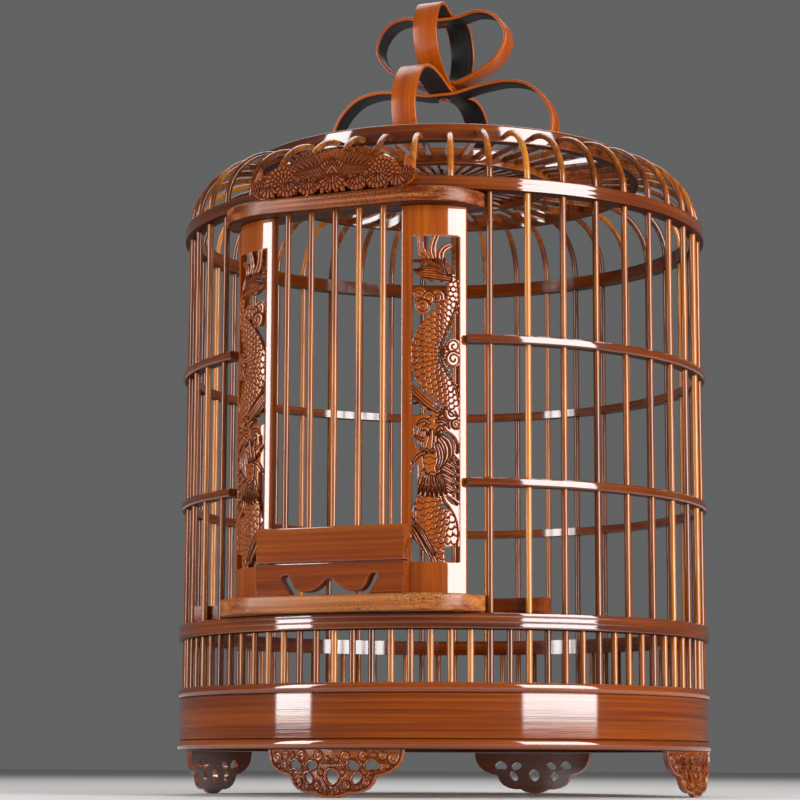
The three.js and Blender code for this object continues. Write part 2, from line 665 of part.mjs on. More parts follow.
const topCrossing = upperTierBottom + upperTierHeight * topCrossingShare;
const holeReach = 3 * stripStep;
const tiePegOutline = roundOutline(0, 0, finialPegRadius + seatGap, 10);
const tiePegHole = raised(tiePegOutline, lowerTierCentre - stripStep, 2 * holeReach);
const hookOutline = roundOutline(0, 0, hookHoleRadius, 10);
const hookHole = raised(hookOutline, topCrossing - holeReach, 2 * holeReach);
const holes = tiePegHole.add(hookHole);
const sideToSide = finialTurn;
const frontToBack = finialTurn + Math.PI / 2;
const finialStrips = [
  ['finial_lower_side_to_side', lowerStrip(0), sideToSide],
  ['finial_lower_front_to_back', lowerStrip(stripStep / crossingShare), frontToBack],
  ['finial_upper_front_to_back', upperStrip(upperTierDepthHalf, 0), frontToBack],
  ['finial_upper_side_to_side', upperStrip(upperTierSideHalf, stripStep), sideToSide],
];
for (const [name, strip, turn] of finialStrips) {
  addPiece(name, turnedTo(strip, turn).subtract(holes), bambooSkin);
}

// Turned peg that ties the two tiers together where all four strips cross
const pegLow = lowerTierCentre - stripThickness / 2 - 2 * seatGap;
const pegHigh = upperTierBottom + stripStep + stripThickness / 2 + 2 * seatGap;
const finialPegProfile = [
  [0, pegLow - finialPegHeadHeight],
  [finialPegHeadRadius, pegLow - finialPegHeadHeight],
  [finialPegHeadRadius, pegLow],
  [finialPegRadius, pegLow],
  [finialPegRadius, pegHigh],
  [finialPegHeadRadius, pegHigh],
  [0, pegHigh + finialPegHeadHeight],
].map(([r, z]) => new THREE.Vector2(r, z));
const finialPeg = solid(new THREE.LatheGeometry(finialPegProfile, 10).rotateX(Math.PI / 2));
addPiece('finial_peg', finialPeg, bambooBoard);

export default cage;
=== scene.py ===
from math import ceil, cos, hypot, pi, radians, sin, sqrt

import bpy
import numpy as np
from mathutils import Matrix, Vector


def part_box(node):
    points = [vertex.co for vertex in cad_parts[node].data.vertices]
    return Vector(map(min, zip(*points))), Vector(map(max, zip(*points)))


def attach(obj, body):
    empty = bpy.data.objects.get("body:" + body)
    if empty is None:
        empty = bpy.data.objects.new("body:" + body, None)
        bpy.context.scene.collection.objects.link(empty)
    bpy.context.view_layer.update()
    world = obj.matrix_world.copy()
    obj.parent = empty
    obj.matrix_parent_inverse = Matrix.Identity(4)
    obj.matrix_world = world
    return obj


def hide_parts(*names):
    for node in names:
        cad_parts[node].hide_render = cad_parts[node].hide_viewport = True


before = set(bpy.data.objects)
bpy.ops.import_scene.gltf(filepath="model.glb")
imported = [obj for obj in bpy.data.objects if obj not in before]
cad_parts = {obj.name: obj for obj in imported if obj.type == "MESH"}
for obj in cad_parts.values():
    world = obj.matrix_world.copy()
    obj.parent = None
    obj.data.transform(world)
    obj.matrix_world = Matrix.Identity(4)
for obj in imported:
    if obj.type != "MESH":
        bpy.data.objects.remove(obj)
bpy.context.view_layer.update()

mm = 0.001

# The camera stands low in front of the cage, to the right of the door, and looks a little up.
# Its angles and lens are the photograph's, measured from the cage's own axis.
feet_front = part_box("foot_front")[0][1]
feet_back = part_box("foot_back")[1][1]
axis_y = (feet_front + feet_back) / 2
camera_turn = radians(22.63)
camera_distance = 1.558
camera_height = 0.0182
camera_pitch = radians(8.638)
camera_yaw = radians(1.056)
camera_roll = radians(0.206)
photo_pixels = 800
focal_pixels = 2411.2
sensor_width = 36

bpy.ops.object.camera_add()
camera = bpy.context.object
camera.name = "camera"
camera.data.sensor_width = sensor_width
camera.data.lens = sensor_width * focal_pixels / photo_pixels
heading = Matrix.Rotation(camera_turn + camera_yaw, 4, "Z")
tilt = Matrix.Rotation(pi / 2 + camera_pitch, 4, "X") @ Matrix.Rotation(camera_roll, 4, "Z")
camera_y = axis_y - camera_distance * cos(camera_turn)
stand = Vector((camera_distance * sin(camera_turn), camera_y, camera_height))
camera.matrix_world = Matrix.Translation(stand) @ heading @ tilt
bpy.context.scene.camera = camera

# A plain pale floor under plain surroundings, with two tall soft boxes. They stand to the right
# and left of the camera, where the long highlights on hoops, pillars and band come from. A wide
# soft box behind the cage fills in its back and its top.
floor_size = 14
floor_roughness = 0.7
floor_shade = (0.72, 0.71, 0.70, 1)
surroundings_shade = (0.76, 0.77, 0.78, 1)
surroundings_strength = 0.16
soft_boxes = [  # name, turn from the camera, distance, height, downward tilt, width, length, watts
    ("soft_box_right", 47, 1.25, 0.515, 0, 0.72, 0.90, 24),
    ("soft_box_left", -62, 1.25, 0.515, 0, 0.36, 0.90, 12),
    ("soft_box_behind", 180, 1.00, 1.90, 58, 1.80, 1.40, 20),
]

bpy.ops.mesh.primitive_plane_add(size=floor_size, location=(0, 0, 0))
floor = bpy.context.object
floor.name = "pale_floor"
floor_paint = bpy.data.materials.new("pale_floor_paint")
floor_paint.use_nodes = True
floor_look = floor_paint.node_tree.nodes["Principled BSDF"].inputs
floor_look["Base Color"].default_value = floor_shade
floor_look["Roughness"].default_value = floor_roughness
floor.data.materials.append(floor_paint)

world = bpy.data.worlds.new("pale_surroundings")
world.use_nodes = True
surroundings = world.node_tree.nodes["Background"].inputs
surroundings["Color"].default_value = surroundings_shade
surroundings["Strength"].default_value = surroundings_strength
bpy.context.scene.world = world
bpy.context.scene.view_settings.view_transform = "Standard"

for name, turn, distance, height, down, width, length, watts in soft_boxes:
    bearing = camera_turn + radians(turn)
    place = Vector((distance * sin(bearing), axis_y - distance * cos(bearing), height))
    bpy.ops.object.light_add(type="AREA", location=place)
    lamp = bpy.context.object
    lamp.name = name
    lamp.data.shape = "RECTANGLE"
    lamp.data.size = width
    lamp.data.size_y = length
    lamp.data.energy = watts
    lamp.rotation_euler = (pi / 2 - radians(down), 0, bearing)

# Base band: a deep strip of bamboo bent to a ring and scarfed at the back, with a rounded
# bead above and below its plain face. A groove on top holds the strip that the bars stand in.


def levels(node):
    """The lowest and the highest level of a node."""
    low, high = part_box(node)
    return low[2], high[2]


band_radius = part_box("base_band")[1][0]
band_bottom, band_top = levels("base_band")
band_depth = 9 * mm
band_bead = 5.6 * mm
band_face_inset = 1.3 * mm
bead_groove = 0.7 * mm
groove_outer = band_radius - 1.7 * mm
groove_inner = band_radius - 7.3 * mm
groove_depth = 6 * mm
band_lip = 4 * mm
ring_steps = 180
same_place = mm / 500
looks_down = -0.8
soft_turn = 35
# Strength of the painted shade laid on faces that look down.
underside_shade_strength = 0.75
fibre_share = 0.45
deep_until = 0.34
middle_at = 0.50
pale_from = 0.70
pore_stain = 0.35
band_colours = ((0.067, 0.010, 0.0003), (0.180, 0.030, 0.0003), (0.361, 0.083, 0.0012))


def deselect():
    bpy.ops.object.select_all(action="DESELECT")


def edit_all():
    bpy.ops.object.mode_set(mode="EDIT")
    bpy.ops.mesh.select_all(action="SELECT")


def extrude(step):
    bpy.ops.mesh.extrude_region_move(TRANSFORM_OT_translate={"value": step})


def draw_line(points):
    """Draws edges by running one vertex from point to point."""
    deselect()
    bpy.ops.mesh.primitive_plane_add(size=mm, location=points[0])
    edit_all()
    bpy.ops.mesh.merge(type="CENTER")
    for before, after in zip(points[:-1], points[1:]):
        extrude(tuple(b - a for a, b in zip(before, after)))
    bpy.ops.mesh.select_all(action="SELECT")


def draw_outline(points):
    draw_line(points)
    bpy.ops.mesh.edge_face_add()


def close_up(name, smooth_angle=soft_turn):
    """Leaves edit mode with normals outwards and the piece's place in its mesh."""
    bpy.ops.mesh.select_all(action="SELECT")
    bpy.ops.mesh.remove_doubles(threshold=same_place)
    bpy.ops.mesh.normals_make_consistent(inside=False)
    bpy.ops.object.mode_set(mode="OBJECT")
    bpy.ops.object.transform_apply(location=True, rotation=True, scale=True)
    bpy.ops.object.shade_smooth_by_angle(angle=radians(smooth_angle))
    piece = bpy.context.object
    piece.name = name
    return piece


def bend_ring(name, profile, start=0, sweep=2 * pi, steps=ring_steps):
    """Sweeps a profile of (radius, height) points about the cage's axis, from a start angle."""
    turned = Matrix.Rotation(start, 3, "Z")
    points = [turned @ Vector((0, -radius, height)) + Vector((0, axis_y, 0)) for radius, height in profile]
    draw_outline(points)
    if sweep >= 2 * pi:
        bpy.ops.mesh.delete(type="ONLY_FACE")
        bpy.ops.mesh.select_all(action="SELECT")
    bpy.ops.mesh.spin(steps=steps, angle=-sweep, center=(0, axis_y, 0), axis=(0, 0, 1), use_auto_merge=True)
    return close_up(name)


def paint_underside_shade(piece):
    """Paints shade on the faces that look down: they lose their varnish and turn darker than the rest."""
    mesh = piece.data
    undersides = np.zeros(len(mesh.loops))
    for face in mesh.polygons:
        if face.normal.z < looks_down:
            undersides[list(face.loop_indices)] = underside_shade_strength
    shade_layer = mesh.attributes.new("cut", "FLOAT", "CORNER")
    shade_layer.data.foreach_set("value", undersides)


def lay_grain_round(piece):
    """Runs the grain round the ring from the scarf joint at the back, and paints shade on its underside."""
    mesh = piece.data
    grain = mesh.attributes.new("grain", "FLOAT_VECTOR", "CORNER")
    values = np.zeros((len(mesh.loops), 3))
    for face in mesh.polygons:
        middle = np.arctan2(-face.center.x, axis_y - face.center.y)
        for loop in face.loop_indices:
            point = mesh.vertices[mesh.loops[loop].vertex_index].co
            turn = np.arctan2(-point.x, axis_y - point.y)
            if turn - middle > pi:
                turn -= 2 * pi
            if turn - middle < -pi:
                turn += 2 * pi
            radius = hypot(point.x, point.y - axis_y)
            values[loop] = (turn * band_radius, radius, point.z)
    grain.data.foreach_set("vector", values.ravel())
    paint_underside_shade(piece)


def varnished_bamboo(
    name, colours, fibre=(9, 420, 420), flame=(5, 60, 60), gloss=0.06, relief=0.15, varnish=1,
    coat_index=1.72, dots=0,
):
    """Stained bamboo under clear varnish: long fibres, slow flames of colour and dark pores."""
    deep, middle, pale = ((*colour, 1) for colour in colours)
    material = bpy.data.materials.new(name)
    material.use_nodes = True
    nodes = material.node_tree.nodes
    links = material.node_tree.links
    shader = nodes["Principled BSDF"]

    def feed(node, inputs):
        for socket, value in inputs.items():
            if isinstance(value, bpy.types.NodeSocket):
                links.new(value, node.inputs[socket])
            else:
                node.inputs[socket].default_value = value

    def add(kind, output, inputs, **settings):
        """Adds a node with its settings and inputs, and gives back one output."""
        node = nodes.new("ShaderNode" + kind)
        for setting, value in settings.items():
            setattr(node, setting, value)
        feed(node, inputs)
        return node.outputs[output]

    def noise(scale, detail, roughness):
        stretched = add("Mapping", "Vector", {"Vector": grain, "Scale": scale})
        shape = {"Vector": stretched, "Scale": 1, "Detail": detail, "Roughness": roughness}
        return add("TexNoise", "Fac", shape)

    def share(value, low, high, most=1):
        limits = {"Value": value, "From Min": low, "From Max": high, "To Max": most}
        return add("MapRange", "Result", limits)

    def math(operation, *values, **settings):
        return add("Math", "Value", dict(enumerate(values)), operation=operation, **settings)

    grain = add("Attribute", "Vector", {}, attribute_name="grain")
    tone = add("Attribute", "Fac", {}, attribute_name="tone")
    # The cut attribute holds the knife lines and also the painted shade on faces that look down.
    cut = add("Attribute", "Fac", {}, attribute_name="cut")
    flames = noise(flame, detail=4, roughness=0.55)
    fibres = noise(fibre, detail=5, roughness=0.65)
    pores = noise((fibre[0] * 4, fibre[1] * 3, fibre[2] * 3), detail=2, roughness=0.5)
    blend = add("Mix", "Result", {"Factor": fibre_share, "A": flames, "B": fibres}, data_type="FLOAT")
    tint = nodes.new("ShaderNodeValToRGB")
    ramp = tint.color_ramp.elements
    ramp[0].position = deep_until
    ramp[0].color = deep
    ramp[1].position = pale_from
    ramp[1].color = pale
    ramp.new(middle_at).color = middle
    feed(tint, {"Fac": math("ADD", blend, tone)})

    darkest = math("MAXIMUM", share(pores, low=0.62, high=0.78, most=pore_stain), cut)
    if dots:
        grains = share(noise((900, 1500, 1500), detail=1, roughness=0.5), low=0.50, high=0.60)
        patches = share(noise((22, 60, 60), detail=2, roughness=0.5), low=0.38, high=0.56, most=dots)
        darkest = math("MAXIMUM", math("MULTIPLY", grains, patches), darkest)
    # Pores, knife lines and end-grain dots take this dark stain, and so does the painted shade on downward
    # faces.
    stain_and_shade_colour = (deep[0] * 0.12, deep[1] * 0.10, deep[2] * 0.10, 1)
    stained = {"Factor": darkest, "A": tint.outputs["Color"], "B": stain_and_shade_colour}
    height = {"Height": fibres, "Distance": 0.3 * mm}
    feed(shader, {
        "Base Color": add("Mix", "Result", stained, data_type="RGBA"),
        "Roughness": 0.42,
        "Specular IOR Level": 0.05,
        "Normal": add("Bump", "Normal", {"Strength": relief, **height}),
        "Coat Normal": add("Bump", "Normal", {"Strength": relief * 0.35, **height}),
        "Coat Weight": math("MULTIPLY_ADD", cut, -1.4 * varnish, varnish, use_clamp=True),
        "Coat Roughness": gloss,
        "Coat IOR": coat_index,
    })
    return material


def fit_piece(piece, body, material, slot, *nodes):
    """Gives a finished piece its material and its place in the frame."""
    piece.data.materials.clear()
    piece.data.materials.append(material)
    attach(piece, body)
    if nodes:
        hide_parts(*nodes)


def rounded(corner_x, corner_z, radius, from_degrees, steps=4):
    """Points of a quarter round, from one angle on by a right angle."""
    turns = [radians(from_degrees + 90 * i / steps) for i in range(steps + 1)]
    return [(corner_x + radius * cos(turn), corner_z + radius * sin(turn)) for turn in turns]


bead_half = band_bead / 2
bead_swell = bead_half * 0.5
bead_steps = 8


def bead(middle):
    """The rounded outer face of one bead, from below to above."""
    turns = [radians(-90 + 180 * i / bead_steps) for i in range(bead_steps + 1)]
    root = band_radius - bead_swell
    return [(root + bead_swell * cos(turn), middle + bead_half * sin(turn)) for turn in turns]


def fit_ring(name, profile, body, material, slot, node, start=0):
    """Bends a ring, whole or open at the doorway, and fits it with its grain running round."""
    ring = bend_ring(name, profile, start, 2 * pi - 2 * start)
    lay_grain_round(ring)
    fit_piece(ring, body, material, slot, node)


face_radius = band_radius - band_face_inset
band_inner = band_radius - band_depth
band_profile = [
    (band_inner, band_bottom),
    *bead(band_bottom + bead_half),
    (face_radius - bead_groove, band_bottom + band_bead + bead_groove / 2),
    (face_radius, band_bottom + band_bead + bead_groove),
    (face_radius, band_top - band_bead - bead_groove),
    (face_radius - bead_groove, band_top - band_bead - bead_groove / 2),
    *bead(band_top - bead_half),
    (groove_outer, band_top),
    (groove_outer, band_top - groove_depth),
    (groove_inner, band_top - groove_depth),
    (groove_inner, band_top),
    (band_inner - band_lip, band_top),
    (band_inner - band_lip, band_top - 2 * band_lip),
    (band_inner, band_top - 2 * band_lip),
]
band_bamboo = varnished_bamboo("band_bamboo", band_colours, fibre=(4, 620, 620), flame=(3, 130, 130))
fit_ring("base_band_ring", band_profile, "cage", band_bamboo, "bamboo_skin", "base_band")

# Wall hoops: split bamboo bent to rings and drilled for the bars. The lower one and the
# shoulder one are worked with fine reeds; the two plain ones end at the door's pillars.
hoop_round = 1.1 * mm
reed_depth = 0.55 * mm
reed_steps = 6
hoop_depth = 9 * mm
hoop_overlap = 0.006
pillar_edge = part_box("pillar_right")[1]
doorway_turn = np.arctan2(pillar_edge[0], axis_y - pillar_edge[1]) - hoop_overlap
# The hoop colours are darker than the band's, partly their own stain and partly painted shade, as the lower
# hoop lies in the sill's shadow.
hoop_colours_with_shade = ((0.038, 0.006, 0.0003), (0.123, 0.020, 0.0003), (0.264, 0.057, 0.0015))
hoop_bamboo = varnished_bamboo("hoop_bamboo", hoop_colours_with_shade, fibre=(8, 520, 520))


def reeded_face(radius, low, high, reeds):
    """Outer face of a hoop, from below to above, worked in small half-round reeds."""
    pitch = (high - low) / reeds
    points = []
    for reed in range(reeds):
        for i in range(1, reed_steps):
            share = i / reed_steps
            swell = sqrt(max(0, 1 - (2 * share - 1) ** 2))
            points.append((radius - reed_depth + reed_depth * swell, low + pitch * (reed + share)))
    return points


def hoop_profile(node, reeds):
    bottom, top = levels(node)
    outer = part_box(node)[1][0]
    inner = outer - hoop_depth
    return [
        (inner, bottom),
        (outer - hoop_round, bottom),
        *reeded_face(outer, bottom, top, reeds),
        (outer - hoop_round, top),
        (inner, top),
    ]


for node, reeds, start in (
    ("lower_hoop", 3, 0),
    ("shoulder_hoop", 3, 0),
    ("middle_hoop", 1, doorway_turn),
    ("upper_hoop", 1, doorway_turn),
):
    fit_ring(node + "_ring", hoop_profile(node, reeds), "cage", hoop_bamboo, "bamboo_skin", node, start)

# Wall bars: rods drawn round from split bamboo and stained, no two quite the same tone. They
# stand in the groove of the base band, pass through the hoops and bend over to the crown.
bar_radius = 1.95 * mm
bar_circle = band_radius - 4.5 * mm
rib_circle = band_radius - 6.9 * mm
bar_sides = 12
bend_steps = 10
rod_smooth = 50
bar_places = 45
place_step = 2 * pi / bar_places
door_places = 3
bar_foot = band_top - groove_depth + 2.7 * mm
bend_clearance = 0.3 * mm
shoulder_bottom, shoulder_top = levels("shoulder_hoop")
lower_hoop_bottom = levels("lower_hoop")[0]
crown_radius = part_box("crown_hoop")[1][0]
bend_inner = crown_radius + bend_clearance
bar_colours = ((0.080, 0.015, 0.0006), (0.210, 0.046, 0.0018), (0.500, 0.165, 0.0192))
panel_bars = {1: (4, 10), 2: (11, 16), 3: (17, 22)}
bar_stains = [-0.16, -0.09, -0.03, 0.03, 0.10, 0.20]
stain_odds = [0.05, 0.13, 0.26, 0.28, 0.18, 0.10]
grain_shift = 9
tones = np.random.default_rng(11)


def turn_about_axis(piece, turn):
    axis = Matrix.Translation((0, axis_y, 0))
    piece.data.transform(axis @ Matrix.Rotation(turn, 4, "Z") @ axis.inverted())


def copy_piece(piece, name):
    """A copy with its own mesh."""
    twin = piece.copy()
    twin.data = piece.data.copy()
    twin.name = name
    bpy.context.collection.objects.link(twin)
    return twin


def lay_grain_along(piece, path, shift=0, closed=False):
    """Runs the grain along a bent piece, measured on a path of points down its middle."""
    mesh = piece.data
    path = np.array(path)
    if closed:
        path = np.vstack([path, path[:1]])
    starts = path[:-1]
    spans = path[1:] - starts
    lengths = np.linalg.norm(spans, axis=1)
    passed = np.concatenate([[0], np.cumsum(lengths)])
    corners = np.empty(len(mesh.vertices) * 3)
    mesh.vertices.foreach_get("co", corners)
    corners = corners.reshape(-1, 3)
    offsets = corners[:, None, :] - starts[None]
    parts = np.clip((offsets * spans).sum(2) / (lengths ** 2), 0, 1)
    gaps = np.linalg.norm(offsets - parts[:, :, None] * spans[None], axis=2)
    nearest = gaps.argmin(1)
    rows = np.arange(len(corners))
    along = passed[nearest] + parts[rows, nearest] * lengths[nearest]
    grain = mesh.attributes.new("grain", "FLOAT_VECTOR", "CORNER")
    values = np.zeros((len(mesh.loops), 3))
    for face in mesh.polygons:
        loops = list(face.loop_indices)
        ends = np.array([along[mesh.loops[loop].vertex_index] for loop in loops])
        if closed and ends.max() - ends.min() > passed[-1] / 2:
            ends[ends < passed[-1] / 2] += passed[-1]
        for loop, end in zip(loops, ends):
            vertex = mesh.loops[loop].vertex_index
            values[loop] = (end + shift, gaps[vertex, nearest[vertex]], corners[vertex, 1] + shift)
    grain.data.foreach_set("vector", values.ravel())


def stain(piece, amount):
    """Shifts one piece's colour from the common tone, darker below nought and paler above."""
    tone = piece.data.attributes.new("tone", "FLOAT", "POINT")
    tone.data.foreach_set("value", np.full(len(piece.data.vertices), amount))


def rod_end(circle, foot_height, radius):
    """The flat round end of a rod at the front of the cage, left in edit mode."""
    deselect()
    foot = (0, axis_y - circle, foot_height)
    bpy.ops.mesh.primitive_circle_add(vertices=bar_sides, radius=radius, fill_type="NGON", location=foot)
    edit_all()


def straight_rod(name, circle, low, high, radius):
    """An upright rod, and the path down its middle."""
    rod_end(circle, low, radius)
    extrude((0, 0, high - low))
    return close_up(name, rod_smooth), [(0, axis_y - circle, low), (0, axis_y - circle, high)]


def bent_rod(name, circle, foot_height, radius):
    """An upright rod bent over the shoulder to the crown, and the path down its middle."""
    reach = circle - bend_inner
    bend_height = shoulder_top + bend_clearance
    rod_end(circle, foot_height, radius)
    extrude((0, 0, (bend_height - foot_height) / 2))
    extrude((0, 0, (bend_height - foot_height) / 2))
    middle = (0, axis_y - bend_inner, bend_height)
    bpy.ops.mesh.spin(steps=bend_steps, angle=pi / 2, center=middle, axis=(1, 0, 0))
    path = [(0, axis_y - circle, foot_height), (0, axis_y - circle, bend_height)]
    for step in range(1, bend_steps + 1):
        turn = pi / 2 * step / bend_steps
        path.append((0, axis_y - bend_inner - reach * cos(turn), bend_height + reach * sin(turn)))
    return close_up(name, rod_smooth), path


def set_bar(pattern, path, name, half_places, *nodes):
    """Sets a copy of a rod in its place round the wall, with its own grain and tone."""
    bar = copy_piece(pattern, name)
    lay_grain_along(bar, path, shift=tones.uniform(0, grain_shift))
    stain(bar, tones.choice(bar_stains, p=stain_odds))
    turn_about_axis(bar, half_places * place_step / 2)
    fit_piece(bar, "cage", bar_bamboo, "bamboo_bar", *nodes)


bar_bamboo = varnished_bamboo(
    "bar_bamboo", bar_colours, fibre=(6, 700, 700), flame=(7, 90, 90), gloss=0.09, coat_index=1.55,
)
long_bar = bent_rod("bar_pattern", bar_circle, bar_foot, bar_radius)
short_bar = straight_rod("short_bar_pattern", bar_circle, bar_foot, lower_hoop_bottom, bar_radius)
for panel, (first, last) in panel_bars.items():
    for side, word in ((1, "right"), (-1, "left")):
        for place in range(first, last + 1):
            set_bar(*long_bar, f"wall_bar_{word}_{place}", 2 * side * place, f"wall_panel_{word}_{panel}")
            set_bar(*short_bar, f"short_bar_{word}_{place}", side * (2 * place + 1))
for half in range(-2 * door_places - 1, 2 * door_places + 2):
    set_bar(*short_bar, f"bar_below_door_{half + 2 * door_places + 2}", half, "bars_below_door")

rib = bent_rod("rib_pattern", rib_circle, shoulder_top + 2 * bend_clearance, bar_radius)
for place in range(-door_places, door_places + 1):
    node = f"rib_over_door_{place + door_places + 1}"
    set_bar(*rib, node + "_rod", 2 * place, node)
for pattern, path in (long_bar, short_bar, rib):
    bpy.data.objects.remove(pattern)

# Crown: a small hoop that takes the ends of the ribs, flat spokes let into an inner ring, and
# a turned hub in the middle. All are split bamboo, glued, and seen from below through the bars.
crown_low, crown_high = levels("crown_hoop")
crown_thickness = 5.5 * mm
crown_round = 1.2 * mm
inner_ring_radius = 71 * mm
inner_ring_thickness = 5 * mm
spoke_width = 3.2 * mm
spoke_height = 3.6 * mm
spoke_ease = 0.5 * mm
spoke_level = sum(levels("crown_hub")) / 2
hub_radius = 30 * mm
hub_height = 5 * mm
hub_step = 4 * mm
hub_groove = 0.8 * mm
hub_ease = 0.9 * mm
grille_colours = ((0.055, 0.009, 0.0005), (0.190, 0.033, 0.0020), (0.400, 0.110, 0.0125))


def eased_ring(outer, thickness, low, high, ease):
    """A flat ring's profile, its outer edges rounded."""
    return [
        (outer - thickness, low),
        *rounded(outer - ease, low + ease, ease, -90),
        *rounded(outer - ease, high - ease, ease, 0),
        (outer - thickness, high),
    ]


def eased_block(name, middle, size, ease, segments=1):
    """A straight slip with eased edges."""
    deselect()
    bpy.ops.mesh.primitive_cube_add(size=1, location=middle)
    bpy.ops.transform.resize(value=size)
    edit_all()
    bpy.ops.mesh.bevel(offset=ease, segments=segments)
    return close_up(name)


crown_profile = eased_ring(crown_radius, crown_thickness, crown_low, crown_high, crown_round)
fit_ring("crown_hoop_ring", crown_profile, "cage", hoop_bamboo, "bamboo_skin", "crown_hoop")
grille_bamboo = varnished_bamboo("grille_bamboo", grille_colours, fibre=(8, 500, 500))
inner_profile = eased_ring(inner_ring_radius, inner_ring_thickness, crown_low, crown_high, crown_round)
fit_ring("crown_inner_ring", inner_profile, "cage", grille_bamboo, "bamboo_bar", "crown_grille")

spoke_outer = crown_radius - crown_thickness
spoke_length = spoke_outer - hub_radius + mm
spoke_middle = (0, axis_y - spoke_outer + spoke_length / 2, spoke_level)
spoke_path = [(0, axis_y - spoke_outer, spoke_level), (0, axis_y - hub_radius, spoke_level)]
spoke_size = (spoke_width, spoke_length, spoke_height)
spoke_pattern = eased_block("spoke_pattern", spoke_middle, spoke_size, spoke_ease)
for place in range(bar_places):
    spoke = copy_piece(spoke_pattern, f"crown_spoke_{place + 1}")
    lay_grain_along(spoke, spoke_path, shift=tones.uniform(0, grain_shift))
    stain(spoke, tones.uniform(-0.12, 0.12))
    turn_about_axis(spoke, place * place_step)
    fit_piece(spoke, "cage", grille_bamboo, "bamboo_bar")
bpy.data.objects.remove(spoke_pattern)

hub_low = spoke_level - hub_height / 2
hub_high = spoke_level + hub_height / 2
hub_profile = [
    (0, hub_low),
    (hub_radius - 3 * hub_step, hub_low),
    (hub_radius - 2.6 * hub_step, hub_low + hub_groove),
    (hub_radius - 1.4 * hub_step, hub_low + hub_groove),
    (hub_radius - hub_step, hub_low),
    *rounded(hub_radius - hub_ease, hub_low + hub_ease, hub_ease, -90),
    *rounded(hub_radius - hub_ease, hub_high - hub_ease, hub_ease, 0),
    (0, hub_high),
]
crown_hub = bend_ring("crown_hub_turned", hub_profile, steps=72)
lay_grain_along(crown_hub, [(-hub_radius, axis_y, spoke_level), (hub_radius, axis_y, spoke_level)])
fit_piece(crown_hub, "cage", grille_bamboo, "bamboo_board", "crown_hub")

# Sill and top board: boards glued up from bamboo slips, straight in front and rounded back to
# the wall. Their cut edges stay tan, with reddish slips; the top board is bored for the door.
board_front = 6 * mm
sill_front = 8 * mm
board_flat_half = 46 * mm
board_corner_ease = 4.5 * mm
board_tip_inset = 3.8 * mm
board_depth = 18 * mm
board_ease = 1.6 * mm
board_smooth = 20
board_curve_steps = 14
board_back_steps = 12
sharp_corner = radians(60)
top_low = levels("top_board")[0]
top_drilled = 12 * mm
board_tip_radius = bar_circle - board_tip_inset
board_tip_turn = (door_places + 1) * place_step
board_inner = band_radius - board_depth
pillar_face = band_radius - 4.8 * mm
rail_play = 0.4 * mm
rod_inset = 2.8 * mm
door_bar_plane = pillar_face + rail_play + rod_inset
door_bar_radius = 1.9 * mm
door_bar_pitch = 15.6 * mm
door_bar_count = 5
door_bar_play = 0.4 * mm
door_bar_xs = [(i - (door_bar_count - 1) / 2) * door_bar_pitch for i in range(door_bar_count)]
board_colours = ((0.130, 0.020, 0.003), (0.345, 0.100, 0.021), (0.540, 0.230, 0.070))


def curve_through(start, pull, end, steps):
    """Points of a quadratic bend from start to end, drawn towards a pull point."""
    points = []
    for i in range(1, steps + 1):
        t = i / steps
        ways = zip(start, pull, end)
        points.append(tuple((1 - t) ** 2 * a + 2 * t * (1 - t) * b + t * t * c for a, b, c in ways))
    return points


def board_plan(front):
    tip = (board_tip_radius * sin(board_tip_turn), -board_tip_radius * cos(board_tip_turn))
    corner = (tip[0] - board_corner_ease, board_corner_ease - front)
    right = [(board_flat_half, -front)]
    right += curve_through((board_flat_half, -front), corner, tip, board_curve_steps)
    turns = [board_tip_turn * (1 - i / board_back_steps) for i in range(board_back_steps)]
    inner = [(board_inner * sin(turn), -board_inner * cos(turn)) for turn in turns]
    half = right + inner
    return half + [(0, -board_inner)] + [(-x, y) for x, y in reversed(half)]


def ease_edges(name, ease, segments):
    """Eases a sawn board's sharp edges and closes it up."""
    bpy.ops.mesh.select_all(action="SELECT")
    bpy.ops.mesh.normals_make_consistent(inside=False)
    bpy.ops.mesh.select_mode(type="EDGE")
    bpy.ops.mesh.select_all(action="DESELECT")
    bpy.ops.mesh.edges_select_sharp(sharpness=sharp_corner)
    bpy.ops.mesh.bevel(offset=ease, segments=segments)
    bpy.ops.mesh.select_mode(type="VERT")
    return close_up(name, board_smooth)


def glued_board(name, node, front):
    low, high = levels(node)
    draw_outline([(x, y + axis_y, low) for x, y in board_plan(front)])
    extrude((0, 0, high - low))
    return ease_edges(name, board_ease, segments=3)


def drill_up(piece, x, y, low, high, radius, sides=16):
    """Drills a round upright hole through a piece."""
    deselect()
    place = (x, y, (low + high) / 2)
    bpy.ops.mesh.primitive_cylinder_add(vertices=sides, radius=radius, depth=high - low, location=place)
    drill = bpy.context.object
    hole = piece.modifiers.new("hole", "BOOLEAN")
    hole.operation = "DIFFERENCE"
    hole.solver = "EXACT"
    hole.object = drill
    bpy.context.view_layer.objects.active = piece
    bpy.ops.object.modifier_apply(modifier="hole")
    bpy.data.objects.remove(drill)


def lay_grain_straight(piece, axis):
    """Runs the grain straight, along the piece's x, y or z."""
    mesh = piece.data
    grain = mesh.attributes.new("grain", "FLOAT_VECTOR", "CORNER")
    order = {"x": (0, 1, 2), "y": (1, 0, 2), "z": (2, 0, 1)}[axis]
    values = np.zeros((len(mesh.loops), 3))
    for loop in mesh.loops:
        point = mesh.vertices[loop.vertex_index].co
        values[loop.index] = [point[i] for i in order]
    grain.data.foreach_set("vector", values.ravel())


